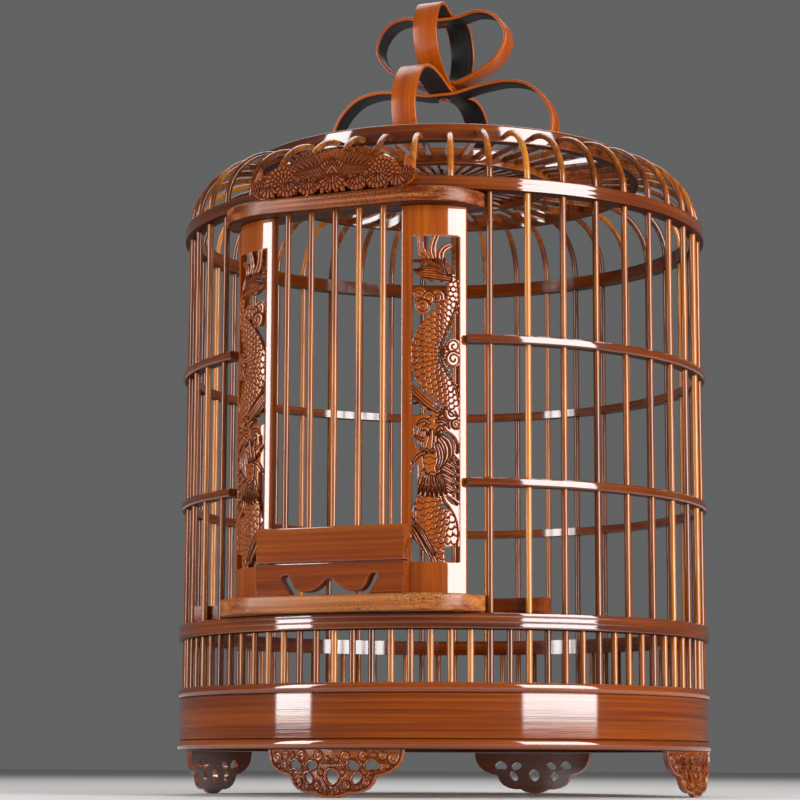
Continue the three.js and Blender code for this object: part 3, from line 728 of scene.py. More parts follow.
shoulder_hoop = bpy.data.objects["shoulder_hoop_ring"]
board_bamboo = varnished_bamboo(
    "board_bamboo", board_colours, fibre=(7, 300, 900), flame=(9, 120, 260),
    gloss=0.28, relief=0.3, varnish=0.5, coat_index=1.5, dots=0.75,
)
sill_board = glued_board("sill_board_slips", "sill_board", band_radius + sill_front)
lay_grain_straight(sill_board, "x")
fit_piece(sill_board, "cage", board_bamboo, "bamboo_board", "sill_board")
top_board = glued_board("top_board_slips", "top_board", band_radius + board_front)
for piece, (low, high) in (
    (top_board, (top_low, top_low + top_drilled)),
    (shoulder_hoop, (shoulder_bottom, shoulder_top + mm)),
):
    for x in door_bar_xs:
        drill_up(piece, x, axis_y - door_bar_plane, low - mm, high, door_bar_radius + door_bar_play)
lay_grain_straight(top_board, "x")
# Painted shade darkens the top board's underside.
paint_underside_shade(top_board)
stain(top_board, -0.10)
fit_piece(top_board, "cage", board_bamboo, "bamboo_board", "top_board")

# Threshold: a board pinned on the sill between the pillars, its lower edge sawn out in the
# shape of a bat. It is plain split bamboo with the grain across, varnished like the rail.
doorway_half = 41.3 * mm
rail_tongue = 6.3 * mm
rail_half = doorway_half + rail_tongue
rail_depth = 8 * mm
rail_ease = 0.7 * mm
bat_half = 31 * mm
bat_height = 10 * mm
bat_edge = [
    (-0.81, 0), (-0.86, 0.25), (-0.91, 0.50), (-0.965, 0.75), (-1.0, 0.95), (-0.985, 1.10), (-0.93, 1.18),
    (-0.86, 1.15), (-0.82, 1.0), (-0.79, 0.78), (-0.75, 0.52), (-0.70, 0.33), (-0.63, 0.20), (-0.52, 0.16),
    (-0.42, 0.18), (-0.32, 0.27), (-0.23, 0.43), (-0.15, 0.63), (-0.07, 0.86), (0, 0.98),
]
rail_colours = ((0.090, 0.013, 0.0003), (0.185, 0.029, 0.0003), (0.294, 0.066, 0.0012))


def faced_board(name, outline):
    """A flat board sawn to an outline of (x, z) points, its edges eased."""
    draw_outline([(x, rail_back, z) for x, z in outline])
    extrude((0, -rail_depth, 0))
    board = ease_edges(name, rail_ease, segments=2)
    lay_grain_straight(board, "x")
    return board


rail_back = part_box("threshold_board")[1][1]
threshold_low, threshold_high = levels("threshold_board")
bat = [(bat_half * x, threshold_low + bat_height * z) for x, z in bat_edge]
threshold_outline = [
    (-rail_half, threshold_low),
    *bat,
    *[(-x, z) for x, z in reversed(bat[:-1])],
    (rail_half, threshold_low),
    (rail_half, threshold_high),
    (-rail_half, threshold_high),
]
threshold = faced_board("threshold_sawn", threshold_outline)
rail_bamboo = varnished_bamboo("rail_bamboo", rail_colours, fibre=(7, 500, 420), flame=(5, 110, 110))
fit_piece(threshold, "cage", rail_bamboo, "bamboo_skin", "threshold_board")

# Door: a rail that rests on the threshold, with five rods glued upright into its top edge.
# The rods run through the top board, so the whole door lifts straight up behind the crest.
rail_low, rail_high = levels("door_rail")
rail_edge = [(-rail_half, rail_low), (rail_half, rail_low), (rail_half, rail_high), (-rail_half, rail_high)]
rail = faced_board("door_rail_board", rail_edge)
stain(rail, 0.05)
fit_piece(rail, "door", rail_bamboo, "bamboo_skin", "door_rail")

rod_low, rod_high = levels("door_bar_1")
door_rod, rod_path = straight_rod("door_bar_pattern", door_bar_plane, rod_low, rod_high, door_bar_radius)
for number, x in enumerate(door_bar_xs, 1):
    door_bar = copy_piece(door_rod, f"door_rod_{number}")
    lay_grain_along(door_bar, rod_path, shift=tones.uniform(0, grain_shift))
    stain(door_bar, tones.uniform(-0.05, 0.12))
    door_bar.data.transform(Matrix.Translation((x, 0, 0)))
    fit_piece(door_bar, "door", bar_bamboo, "bamboo_bar", f"door_bar_{number}")
bpy.data.objects.remove(door_rod)

# Inner batten: a straight slip behind the sill, pegged down on the lower hoop at both ends,
# for the perches and the cups. Only its two ends show beside the door.
batten_ease = 0.8 * mm
batten_colours = (bar_colours[0], *rail_colours[1:])


def middle_and_size(node):
    low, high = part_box(node)
    return [(a + b) / 2 for a, b in zip(low, high)], [b - a for a, b in zip(low, high)]


batten = eased_block("inner_batten_slip", *middle_and_size("inner_batten"), batten_ease, segments=3)
lay_grain_straight(batten, "x")
batten_bamboo = varnished_bamboo("batten_bamboo", batten_colours, gloss=0.25, varnish=0.4)
fit_piece(batten, "cage", batten_bamboo, "bamboo_board", "inner_batten")
for word in ("left", "right"):
    middle, size = middle_and_size(f"batten_peg_{word}")
    deselect()
    bpy.ops.mesh.primitive_cylinder_add(vertices=16, radius=size[0] / 2, depth=size[2], location=middle)
    edit_all()
    bpy.ops.mesh.bevel(offset=size[0] / 8, segments=2)
    peg = close_up(f"batten_peg_{word}_rod", rod_smooth)
    lay_grain_straight(peg, "z")
    fit_piece(peg, "cage", bar_bamboo, "bamboo_bar", f"batten_peg_{word}")

# Floor panel: slats of split bamboo let into a bent rim, pushed up into the base band against
# its lip, and pulled out downwards for cleaning. It is varnished thinly and stays paler.
floor_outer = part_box("floor_panel")[1][0]
floor_low, floor_high = levels("floor_panel")
floor_rim = 10 * mm
floor_ease = 1 * mm
slat_count = 13
slat_width = 17 * mm
slat_thickness = 4 * mm
slat_lap = 6.7 * mm
floor_inner = floor_outer - floor_rim
floor_level = (floor_low + floor_high) / 2
floor_colours = ((0.160, 0.050, 0.012), (0.360, 0.150, 0.048), (0.560, 0.310, 0.130))
floor_bamboo = varnished_bamboo("floor_bamboo", floor_colours, gloss=0.25, relief=0.3)
floor_profile = eased_ring(floor_outer, floor_rim, floor_low, floor_high, floor_ease)
fit_ring("floor_rim", floor_profile, "floor", floor_bamboo, "bamboo_board", "floor_panel")
slat_pitch = 2 * floor_inner / slat_count
for i in range(slat_count):
    x = (i - (slat_count - 1) / 2) * slat_pitch
    half = sqrt((floor_inner + slat_lap) ** 2 - (abs(x) + slat_width / 2) ** 2)
    slat_size = (slat_width, 2 * half, slat_thickness)
    slat = eased_block(f"floor_slat_{i + 1}", (x, axis_y, floor_level), slat_size, floor_ease / 2)
    lay_grain_straight(slat, "y")
    stain(slat, tones.uniform(-0.10, 0.12))
    fit_piece(slat, "floor", floor_bamboo, "bamboo_board")

# Finial: four strips of thick bamboo skin, bent over heat. Two arches stand crossed on the
# inner ring, two closed loops stand crossed on them, and a turned peg ties all four together.
strip_width = 16.5 * mm
strip_thickness = 2.2 * mm
strip_ease = 0.6 * mm
strip_gap = 0.3 * mm
strip_smooth = 40
strip_step = strip_thickness + strip_gap
finial_turn = radians(3)
lower_half = 77 * mm
lower_height = 57 * mm
upper_side_half = 44.7 * mm
upper_depth_half = 37.5 * mm
upper_height = 52.8 * mm
hook_hole_radius = 2.6 * mm
tie_radius = 2.4 * mm
tie_head_radius = 4 * mm
tie_head_height = 1.6 * mm
tie_ease = 0.6 * mm
tie_dome = [(0.8 * mm, 0.7 * mm), (2 * mm, 0.2 * mm)]
arch_shares = [(0, 0.91), (0.14, 0.914), (0.36, 0.975), (0.6, 1), (0.8, 0.92), (0.95, 0.7), (1, 0.42)]
loop_shares = [
    (0, 0), (0.14, 0), (0.27, 0.001), (0.55, 0.11), (0.84, 0.28), (1, 0.53), (0.97, 0.74),
    (0.8, 0.93), (0.54, 0.994), (0.25, 0.936), (0, 0.93),
]
arch_foot = crown_high + strip_gap
crossing_level = arch_foot + lower_height * arch_shares[0][1]
loop_foot = crossing_level + 2 * strip_step
loop_top = loop_foot + upper_height * loop_shares[-1][1]
# Near-black colours for the strips' inner faces: painted shade inside the arches and loops.
inside_shade_colours = ((0.006, 0.006, 0.007), (0.014, 0.013, 0.014), (0.030, 0.024, 0.021))
strip_colours = ((0.130, 0.018, 0.0003), (0.330, 0.055, 0.0003), (0.500, 0.111, 0.0021))


def bend_through(points, closed=False, steps=8):
    """A smooth line through the given points."""
    rows = [np.array(point, float) for point in points]
    if closed:
        rows = rows[-1:] + rows + rows[:2]
    else:
        rows = [2 * rows[0] - rows[1]] + rows + [2 * rows[-1] - rows[-2]]
    line = []
    for a, b, c, d in zip(rows[:-3], rows[1:-2], rows[2:-1], rows[3:]):
        for k in range(steps):
            t = k / steps
            pull = (2 * a - 5 * b + 4 * c - d) * t ** 2 + (3 * b - a - 3 * c + d) * t ** 3
            line.append(0.5 * (2 * b + (c - a) * t + pull))
    return line if closed else line + [rows[-2]]


def thicken_strip(piece):
    thick = piece.modifiers.new("thick", "SOLIDIFY")
    thick.thickness = strip_thickness
    thick.offset = 0
    thick.use_even_offset = True
    eased = piece.modifiers.new("eased", "BEVEL")
    eased.width = strip_ease
    eased.segments = 3
    eased.limit_method = "ANGLE"
    eased.angle_limit = sharp_corner
    bpy.ops.object.modifier_apply(modifier="thick")
    bpy.ops.object.modifier_apply(modifier="eased")


def bent_strip(name, node, bends, closed, turn):
    """A strip bent along (x, z) points, its inner face painted near-black as shade, turned about the axis.
    """
    path = [(x, axis_y, z) for x, z in bends]
    edge = [(x, y - strip_width / 2, z) for x, y, z in path]
    draw_line(edge + edge[:1] if closed else edge)
    bpy.ops.mesh.remove_doubles(threshold=mm / 100)
    extrude((0, strip_width, 0))
    bpy.ops.mesh.select_all(action="SELECT")
    bpy.ops.mesh.normals_make_consistent(inside=False)
    bpy.ops.object.mode_set(mode="OBJECT")
    thicken_strip(bpy.context.object)
    bpy.ops.object.mode_set(mode="EDIT")
    piece = close_up(name, strip_smooth)
    for low, high, radius in (tie_bore, hook_bore) if closed else (tie_bore,):
        drill_up(piece, 0, axis_y, low, high, radius, sides=24)
    lay_grain_along(piece, path, shift=tones.uniform(0, grain_shift), closed=closed)
    heights = [z for _, z in bends]
    middle = Vector((0, axis_y, (min(heights) + max(heights)) / 2 if closed else min(heights)))
    fit_piece(piece, "cage", strip_bamboo, "bamboo_skin", node)
    # Faces that look into the arch or loop take the painted shade.
    piece.data.materials.append(strip_inside_shade)
    for face in piece.data.polygons:
        if abs(face.normal.y) < 0.2 and face.normal.dot(middle - face.center) > 0:
            face.material_index = 1
    turn_about_axis(piece, turn)


def arch(lift):
    half = [(lower_half * x, arch_foot + (lower_height + lift) * z) for x, z in arch_shares]
    half.append((inner_ring_radius - inner_ring_thickness / 2, arch_foot + strip_ease))
    return bend_through([(-x, z) for x, z in reversed(half[1:])] + half)


def loop(half_width, inset):
    height = upper_height - 2 * inset / loop_shares[-1][1]
    half = [(half_width * x, loop_foot + inset + height * z) for x, z in loop_shares]
    return bend_through(half + [(-x, z) for x, z in reversed(half[1:-1])], closed=True)


strip_bamboo = varnished_bamboo(
    "strip_bamboo", strip_colours, fibre=(6, 300, 520), flame=(4, 60, 110), gloss=0.26, varnish=0.6,
)
strip_inside_shade = varnished_bamboo(
    "strip_inside_shade", inside_shade_colours, fibre=(6, 300, 520), gloss=0.3, varnish=0.25, coat_index=1.45,
)
tie_bore = (crossing_level - 2 * strip_step, crossing_level + 5 * strip_step, tie_radius + strip_gap)
hook_bore = (loop_top - 3 * strip_step, loop_top + 3 * strip_step, hook_hole_radius)
across = finial_turn
along = finial_turn + pi / 2
lift = strip_step / arch_shares[0][1]
side_loop = loop(upper_side_half, strip_step)
bent_strip("arch_side_to_side", "finial_lower_side_to_side", arch(0), False, across)
bent_strip("arch_front_to_back", "finial_lower_front_to_back", arch(lift), False, along)
bent_strip("loop_front_to_back", "finial_upper_front_to_back", loop(upper_depth_half, 0), True, along)
bent_strip("loop_side_to_side", "finial_upper_side_to_side", side_loop, True, across)

tie_low, tie_high = levels("finial_peg")
tie_profile = [
    (0, tie_low),
    (tie_head_radius - tie_ease, tie_low),
    (tie_head_radius, tie_low + tie_ease),
    (tie_head_radius, tie_low + tie_head_height),
    (tie_radius, tie_low + tie_head_height),
    (tie_radius, tie_high - tie_head_height),
    (tie_head_radius, tie_high - tie_head_height),
    *[(tie_head_radius - inwards, tie_high - down) for inwards, down in tie_dome],
    (0, tie_high),
]
tie_peg = bend_ring("finial_tie_peg", tie_profile, steps=24)
lay_grain_straight(tie_peg, "z")
fit_piece(tie_peg, "cage", bar_bamboo, "bamboo_board", "finial_peg")

# Pillars: two upright pieces of split culm beside the door, each with a long window of carved
# openwork, a dragon among clouds. Their grain stands upright, and the knife leaves dark lines.
pillar_arc = 40.4 * mm
pillar_thickness = 4 * mm
pillar_width = 41.4
pillar_low, pillar_high = levels("pillar_right")
window_edge = 6.61
window_width = 28.97
window_low = 18.2
window_height = 192.2
knife_line = 0.34
line_steps = 6
sawn_edge = 0.3
sawn_width = 0.5
solid_from = 3.72
spine_pitch = 3.1
spine_root = 0.6
spine_tip = 1.6
spine_root_half = 1.15
spine_tip_half = 0.25
spine_start = 6
spine_stop = 4
scale_radius = 0.62
scale_lift = 0.22
body_swell = 0.35
belly_line = 1.1
plate_smooth = radians(55)
saw_step = 0.36
saw_reach = 0.6 * saw_step
least_slope = 0.3
inner_stile = [0, 0.12, 0.35, 0.7, 1.1, 1.6, 2.2, 2.5, 2.8, 3.1, 3.4, 4.2, 5.2]
outer_stile = [37, 38, 39, 40, 40.6, 41, 41.25, pillar_width]
margin_rows = 8
margin_below_until = 17
margin_above_from = 212
share_across = 29
share_down = 27.6
pillar_colours = ((0.149, 0.024, 0.0003), (0.270, 0.050, 0.0003), (0.400, 0.098, 0.0018))


def knife(off, reach=1.3):
    """A cut line, deepest where nothing is off it."""
    return np.clip(reach - off / knife_line, 0, 1)


class Carving:
    """A drawing on a plate: where wood stays, how high it stands and where the knife has cut."""

    def __init__(self, across, down):
        self.x, self.y = np.meshgrid(across, down)
        self.wood = np.full(self.x.shape, 9.0)
        self.cut = np.zeros(self.x.shape)
        self.lift = np.zeros(self.x.shape)

    def stroke(self, points, smooth=True):
        """How far each place is outside a stroke, how far along it, beside it, and its half width."""
        smooth = smooth and len(points) > 2
        line = bend_through(points, steps=line_steps) if smooth else [np.array(p, float) for p in points]
        outside = np.full(self.x.shape, 99.0)
        nearest = np.full(self.x.shape, 99.0)
        along = np.zeros(self.x.shape)
        beside = np.zeros(self.x.shape)
        half = np.ones(self.x.shape)
        passed = 0
        for (ax, ay, ar), (bx, by, br) in zip(line[:-1], line[1:]):
            dx, dy = bx - ax, by - ay
            length = max(hypot(dx, dy), 1e-6)
            t = np.clip(((self.x - ax) * dx + (self.y - ay) * dy) / length ** 2, 0, 1)
            ox, oy = self.x - ax - t * dx, self.y - ay - t * dy
            distance = np.hypot(ox, oy)
            outside = np.minimum(outside, distance - (ar + t * (br - ar)))
            closer = distance < nearest
            nearest = np.where(closer, distance, nearest)
            along = np.where(closer, passed + t * length, along)
            beside = np.where(closer, (ox * dy - oy * dx) / length, beside)
            half = np.where(closer, ar + t * (br - ar), half)
            passed += length
        return outside, along, beside, half

    def off(self, points, smooth=True):
        """How far each place is outside a stroke."""
        return self.stroke(points, smooth)[0]

    def disc(self, x, y, radius):
        return np.hypot(self.x - x, self.y - y) - radius

    def lay(self, outside, cut=0, lift=0):
        """Lays a form over what is there, with a knife line round it."""
        inside = outside < 0
        edge = knife(np.abs(outside), 1.6) * (self.wood < 0)
        self.cut = np.where(inside, cut, self.cut)
        self.lift = np.where(inside, lift, self.lift)
        self.cut = np.maximum(self.cut, edge)
        self.wood = np.minimum(self.wood, outside)

    def engrave(self, points, width=0.3):
        outside = self.off([(x, y, width) for x, y in points])
        self.cut = np.maximum(self.cut, np.clip(1 - outside / 0.25, 0, 1))

    def pierce(self, outside):
        self.wood = np.maximum(self.wood, -outside)

    def hair(self, points, count=3):
        """A tuft of hair or a flame, with fine lines that follow it."""
        outside, along, beside, half = self.stroke(points)
        place = (beside / np.maximum(half, 0.05) + 1) / 2 * count
        off = np.abs(place - np.round(place)) * 2 * half / count
        lines = knife(off) * (np.abs(beside) < half * 0.98)
        self.lay(outside, lines, 0.1)

    def curl(self, x, y, radius, hand=1, turn=0.0, lift=0.25):
        """A round cloud with a spiral line in it."""
        dx, dy = self.x - x, self.y - y
        distance = np.hypot(dx, dy)
        pitch = radius * 0.55
        place = distance / pitch - (hand * np.arctan2(dy, dx) + turn) / (2 * pi)
        off = np.abs(place - np.round(place)) * pitch
        spiral = knife(off) * (distance < radius * 0.92) * (distance > pitch * 0.25)
        self.lay(distance - radius, spiral, lift)

    def scaled(self, points, row, column, belly=0):
        """A scaled body: rows of overlapping scales, and a plain band along the belly."""
        outside, along, beside, half = self.stroke(points)
        radius = scale_radius * column
        found = np.zeros(self.x.shape, bool)
        cut = np.zeros(self.x.shape)
        lift = np.zeros(self.x.shape)
        first = np.ceil((along - radius) / row)
        for k in range(3):
            i = first + k
            shift = 0.5 * (i % 2)
            j = np.round(beside / column - shift)
            distance = np.hypot(along - i * row, beside - (j + shift) * column)
            inside = (distance < radius) & ~found
            cut = np.where(inside, knife(radius - distance, 1.85), cut)
            lift = np.where(inside, scale_lift * (distance / radius) ** 2, lift)
            found |= inside
        if belly:
            line = knife(np.abs(-outside - belly_line), 1.4)
            cut = np.maximum(cut, line * (beside > 0) * (along > belly))
        self.lay(outside, cut, lift + body_swell * np.clip(-outside / 4, 0, 1))


def shares(points):
    """Places in the window, from shares of its width and the same measure downwards."""
    scale = (share_across, share_down, share_across)
    return [tuple(value * scale[i] for i, value in enumerate(point)) for point in points]


def locks(carving, tufts, count):
    for tuft in tufts:
        carving.hair(shares(tuft), count)


def holes(carving, cuts):
    for cut in cuts:
        carving.pierce(carving.off(shares(cut)))


def ball(carving, x, y, radius):
    return carving.disc(share_across * x, share_down * y, share_across * radius)


def carve_dragon(carving):
    """The dragon from its tail flames at the top, down to its head and its coiled body."""
    carving.wood = np.minimum(carving.wood, np.maximum(share_down * solid_from - carving.y, -9))
    for x, y, radius, hand, turn in (
        (.53, 1.34, .15, 1, .5), (.16, 1.29, .15, -1, .2), (.35, 1.38, .14, 1, 2.0),
        (.23, 1.54, .15, -1, 3.0), (.71, 2.52, .13, 1, 1.0), (.88, 2.38, .16, -1, .3),
        (.87, 2.66, .16, 1, 2.2), (.92, 4.05, .10, 1, .4), (.66, 3.95, .12, -1, 1.4),
        (.82, 3.80, .17, -1, .8),
    ):
        carving.curl(share_across * x, share_down * y, share_across * radius, hand, turn)

    back = [
        (.78, .74, .04), (.84, .92, .09), (.86, 1.06, .105), (.86, 1.20, .115), (.85, 1.36, .13),
        (.77, 1.55, .17), (.58, 1.83, .24), (.40, 2.15, .29), (.30, 2.40, .31), (.29, 2.68, .31),
        (.36, 2.93, .32), (.52, 3.15, .30), (.70, 3.38, .26), (.76, 3.47, .23), (.86, 3.62, .17),
        (.95, 3.75, .12),
    ]
    line = bend_through(shares(back), steps=line_steps)
    passed = np.concatenate([[0], np.cumsum([hypot(*(b - a)[:2]) for a, b in zip(line[:-1], line[1:])])])
    for at in np.arange(spine_start, passed[-1] - spine_stop, spine_pitch):
        k = int(np.searchsorted(passed, at))
        x, y, half = line[k]
        run = (line[min(k + 1, len(line) - 1)] - line[k - 1])[:2]
        run = run / hypot(*run)
        out = np.array([run[1], -run[0]])
        out = out if out[0] > 0 else -out
        root = np.array([x, y]) + out * (half - spine_root)
        tip = np.array([x, y]) + out * (half + spine_tip) + run
        spine = [(*root, spine_root_half), (*tip, spine_tip_half)]
        carving.lay(carving.off(spine, smooth=False), 0, 0.1)
    carving.scaled(shares(back), 2.9, 3.5, belly=18)

    locks(carving, [
        [(.44, .70, .06), (.33, .53, .07), (.22, .38, .085), (.18, .20, .07), (.17, -.03, .075)],
        [(.60, .72, .06), (.51, .56, .08), (.43, .38, .08), (.44, .20, .075), (.50, .03, .07),
         (.52, -.03, .06)],
        [(.69, .72, .08), (.62, .56, .08), (.60, .41, .08), (.66, .29, .07), (.78, .22, .05),
         (.87, .20, .02)],
    ], 2)
    locks(carving, [
        [(.78, .95, .05), (.53, .93, .056), (.34, .92, .05), (.22, .88, .03)],
        [(.76, .90, .07), (.50, .86, .08), (.28, .84, .07), (.12, .80, .05), (.06, .74, .03)],
        [(.76, .82, .06), (.55, .74, .06), (.35, .70, .055), (.20, .72, .04), (.10, .74, .02)],
        [(.77, .80, .06), (.58, .66, .055), (.36, .58, .055), (.18, .56, .04), (.05, .54, .03)],
        [(.78, .79, .06), (.68, .66, .05), (.54, .56, .04), (.44, .54, .02)],
        [(.79, .78, .06), (.72, .62, .05), (.68, .52, .03)],
        [(.02, 3.62, .012), (.14, 3.60, .03), (.26, 3.62, .05), (.40, 3.70, .07)],
        [(-.04, 3.44, .03), (.08, 3.50, .045), (.22, 3.58, .06), (.40, 3.68, .08)],
        [(-.02, 3.24, .06), (.10, 3.36, .08), (.24, 3.50, .085), (.40, 3.64, .09), (.54, 3.74, .08)],
    ], 3)
    holes(carving, [
        [(.03, 3.79, .07), (.16, 3.80, .075), (.30, 3.78, .045)],
        [(.31, 3.81, .03), (.46, 3.92, .03), (.65, 4.06, .03)],
    ])
    carving.pierce(ball(carving, .50, 3.69, .045))

    coil = [
        (.42, 5.20, .24), (.36, 5.6, .27), (.40, 5.9, .32), (.52, 6.2, .42), (.60, 6.5, .36),
        (.58, 6.75, .25), (.56, 6.98, .15),
    ]
    carving.scaled(shares(coil), 3.1, 4.0)
    for k in range(5):
        y = 4.86 + .17 * k
        fin = [(.60, y - .20, .09), (.78, y - .12, .075), (.92, y - .03, .05), (1.02, y + .06, .03)]
        locks(carving, [fin], 3)
    for k in range(7):
        t = k / 6
        tip = (.14 + .56 * t, 5.52 + .06 * sin(pi * t), .02)
        locks(carving, [[(.44, 4.98, .05), (.30 + .30 * t, 5.22, .055), tip]], 3)

    head = [(.46, 4.08, .17), (.44, 4.30, .20), (.40, 4.55, .17), (.40, 4.80, .15), (.44, 4.98, .17)]
    carving.lay(carving.off(shares(head)), 0, 0.2)
    locks(carving, [
        [(.36, 4.04, .03), (.28, 3.98, .032), (.19, 4.00, .026), (.12, 4.07, .012)],
        [(.52, 4.00, .03), (.62, 3.99, .032), (.71, 4.04, .026), (.77, 4.13, .012)],
    ], 1)
    locks(carving, [
        [(.62, 4.34, .06), (.74, 4.44, .07), (.80, 4.62, .06), (.78, 4.82, .035)],
        [(.58, 4.38, .06), (.68, 4.54, .075), (.70, 4.74, .065), (.64, 4.90, .04)],
        [(.54, 4.50, .05), (.60, 4.68, .065), (.60, 4.86, .055), (.54, 5.0, .04)],
    ], 2)
    for x, tip in ((.34, .22), (.53, .66)):
        brow = [(x, 4.20, .035), ((x + tip) / 2, 4.14, .045), (tip, 4.19, .015)]
        carving.lay(carving.off(shares(brow)), 0, 0.45)
        carving.lay(ball(carving, x, 4.27, .042), 0, 0.5)
        carving.lay(ball(carving, x, 4.27, .014), 0.8, 0.3)
    snout = [(.43, 4.20, .03), (.41, 4.38, .04), (.38, 4.56, .06)]
    carving.lay(carving.off(shares(snout)), 0, 0.4)
    for x in (.31, .43):
        carving.lay(ball(carving, x, 4.64, .05), 0, 0.6)
        carving.lay(ball(carving, x, 4.655, .016), 0.8, 0.2)
    for line, width in (
        ([(.22, 4.72), (.29, 4.78), (.38, 4.75), (.47, 4.80), (.56, 4.74)], 0.12),
        ([(.28, 4.88), (.36, 4.92), (.48, 4.88)], 0.1),
        ([(.26, 5.08), (.33, 5.12), (.42, 5.07), (.52, 5.12), (.62, 5.07), (.70, 5.10)], 0.2),
    ):
        carving.engrave(shares(line), width)
    locks(carving, [
        [(.26, 4.68, .03), (.16, 4.72, .03), (.08, 4.82, .022), (.02, 4.90, .016)],
        [(.24, 4.40, .03), (.16, 4.36, .025), (.08, 4.30, .018)],
    ], 1)
    locks(carving, [
        [(-.02, 6.06, .05), (.10, 6.25, .055), (.26, 6.55, .06), (.42, 6.84, .055), (.50, 7.0, .05)],
        [(-.02, 6.24, .06), (.08, 6.40, .06), (.22, 6.66, .06), (.36, 6.92, .05)],
        [(.10, 6.20, .04), (.22, 6.36, .045), (.36, 6.62, .04), (.46, 6.80, .03)],
    ], 2)
    holes(carving, [
        [(.10, 4.17, .045), (.09, 4.24, .03)],
        [(.02, 4.36, .03), (.10, 4.44, .04)],
        [(.14, 4.52, .05), (.20, 4.60, .04)],
        [(.68, 4.24, .03), (.76, 4.28, .045), (.86, 4.37, .06), (.94, 4.50, .055), (.95, 4.63, .045)],
        [(.09, 4.95, .05), (.07, 5.1, .07), (.06, 5.3, .075), (.06, 5.5, .07), (.03, 5.75, .03),
         (0, 5.9, .02)],
        [(.60, 5.80, .02), (.70, 5.80, .045), (.76, 5.83, .03)],
        [(.73, 5.60, .02), (.84, 5.68, .05), (.95, 5.74, .03)],
        [(.86, 5.58, .02), (1.0, 5.62, .05)],
    ])
    for k in range(5):
        y = 4.80 + .17 * k
        holes(carving, [[(1.03, y + .08, .045), (.92, y + .06, .03), (.80, y, .01)]])
    x = carving.x / share_across
    y = carving.y / share_down
    lower_left = np.maximum((x - (y - 6.42) * 0.8) * share_across * 0.75, (y - 6.99) * share_down)
    right_side = np.clip((.82 - x) * 10, 0, 9) + (6.64 - y) * share_down
    carving.pierce(lower_left)
    carving.pierce(np.maximum((.69 - x) * share_across, right_side))


def carved_plate(name, across, up, wood, cut, depth, thickness, place, flip=False):
    """Saws a plate to its outline on a fine net of points, and sinks its face by a depth."""
    u, z = np.meshgrid(across, up)
    slope_up, slope_across = np.gradient(wood, up, across)
    steep = np.maximum(slope_up ** 2 + slope_across ** 2, least_slope)
    near = np.abs(wood) < saw_reach
    u = np.clip(u - near * wood * slope_across / steep, across[0], across[-1])
    z = np.clip(z - near * wood * slope_up / steep, up[0], up[-1])
    kept = (wood < 0) | near
    rows, columns = wood.shape
    number = np.arange(rows * columns).reshape(rows, columns)
    corners = [number[:-1, :-1], number[:-1, 1:], number[1:, 1:], number[1:, :-1]]
    corners = np.stack(corners, -1).reshape(-1, 4)
    held = kept.ravel()[corners]
    partly = held.sum(1) == 3
    thirds = corners[partly][held[partly]].reshape(-1, 3)
    faces = [tuple(face) for face in corners[held.all(1)].tolist() + thirds.tolist()]
    edges = {(a, b) for face in faces for a, b in zip(face, face[1:] + face[:1])}
    back = rows * columns
    sides = [(b, a, a + back, b + back) for a, b in edges if (b, a) not in edges]
    faces += [tuple(reversed([corner + back for corner in face])) for face in faces] + sides
    if flip:
        faces = [tuple(reversed(face)) for face in faces]
    layers = [place(u, z, depth), place(u, z, np.full(u.shape, thickness))]
    points = np.concatenate([layer.reshape(-1, 3) for layer in layers]) * mm
    used = np.unique(np.concatenate([np.array(face) for face in faces]))
    renumber = np.zeros(2 * back, int)
    renumber[used] = np.arange(len(used))
    mesh = bpy.data.meshes.new(name)
    mesh.from_pydata(points[used].tolist(), [], [tuple(renumber[list(face)].tolist()) for face in faces])
    lines = mesh.attributes.new("cut", "FLOAT", "POINT")
    lines.data.foreach_set("value", np.concatenate([cut.ravel(), np.zeros(back)])[used])
    grain = mesh.attributes.new("grain", "FLOAT_VECTOR", "POINT")
    flat = np.stack([u, z, depth], -1).reshape(-1, 3) * mm
    grain_points = np.concatenate([flat, flat + (0, 0, thickness * mm)])[used]
    piece = bpy.data.objects.new(name, mesh)
    bpy.context.collection.objects.link(piece)
    deselect()
    piece.select_set(True)
    bpy.context.view_layer.objects.active = piece
    bpy.ops.object.shade_smooth_by_angle(angle=plate_smooth)
    return piece, grain, grain_points


def saw_places(start, length):
    """Places a saw's step apart over the window, with one more on each side of it."""
    count = ceil(length / saw_step)
    return start + np.arange(-1, count + 2) * length / count


def carved_face(carving, sunk, relief, knife_depth):
    """How deep the carved face lies: sunk, less its relief, and deeper where the knife has cut."""
    return sunk - relief * carving.lift + knife_depth * carving.cut


def fall_to_saw(wood):
    """How far a face falls away at its sawn edges."""
    return sawn_edge * np.clip(1 + wood / sawn_width, 0, 1)


def fall_to_edge(gap, width, drop):
    """How far a face falls away in a round within a width of its edge."""
    share = np.clip(1 - gap / width, 0, 1)
    return drop * (1 - np.sqrt(1 - share ** 2))


pillar_length = (pillar_high - pillar_low) / mm
fine_across = saw_places(window_edge, window_width)
fine_up = saw_places(window_low, window_height)
pillar_across = np.concatenate([inner_stile, fine_across, outer_stile])
below_window = np.linspace(0, margin_below_until, margin_rows)
above_window = np.linspace(margin_above_from, pillar_length, margin_rows)
pillar_up = np.concatenate([below_window, fine_up, above_window])
carving = Carving(fine_across - window_edge, window_low + window_height - fine_up)
carve_dragon(carving)
u, z = np.meshgrid(pillar_across, pillar_up)
into_window = np.minimum(
    np.minimum(u - window_edge, window_edge + window_width - u),
    np.minimum(z - window_low, window_low + window_height - z),
)
pillar_wood = into_window.copy()
pillar_cut = np.zeros(u.shape)
pillar_depth = np.zeros(u.shape)
rows, columns = carving.wood.shape
first_column = len(inner_stile)
block = (slice(margin_rows, margin_rows + rows), slice(first_column, first_column + columns))
opened = into_window[block] > 0
pillar_wood[block] = np.where(opened, np.minimum(carving.wood, into_window[block]), into_window[block])
pillar_cut[block] = np.where(opened, carving.cut, 0)
window_face = carved_face(carving, sunk=0.15, relief=0.22, knife_depth=0.5)
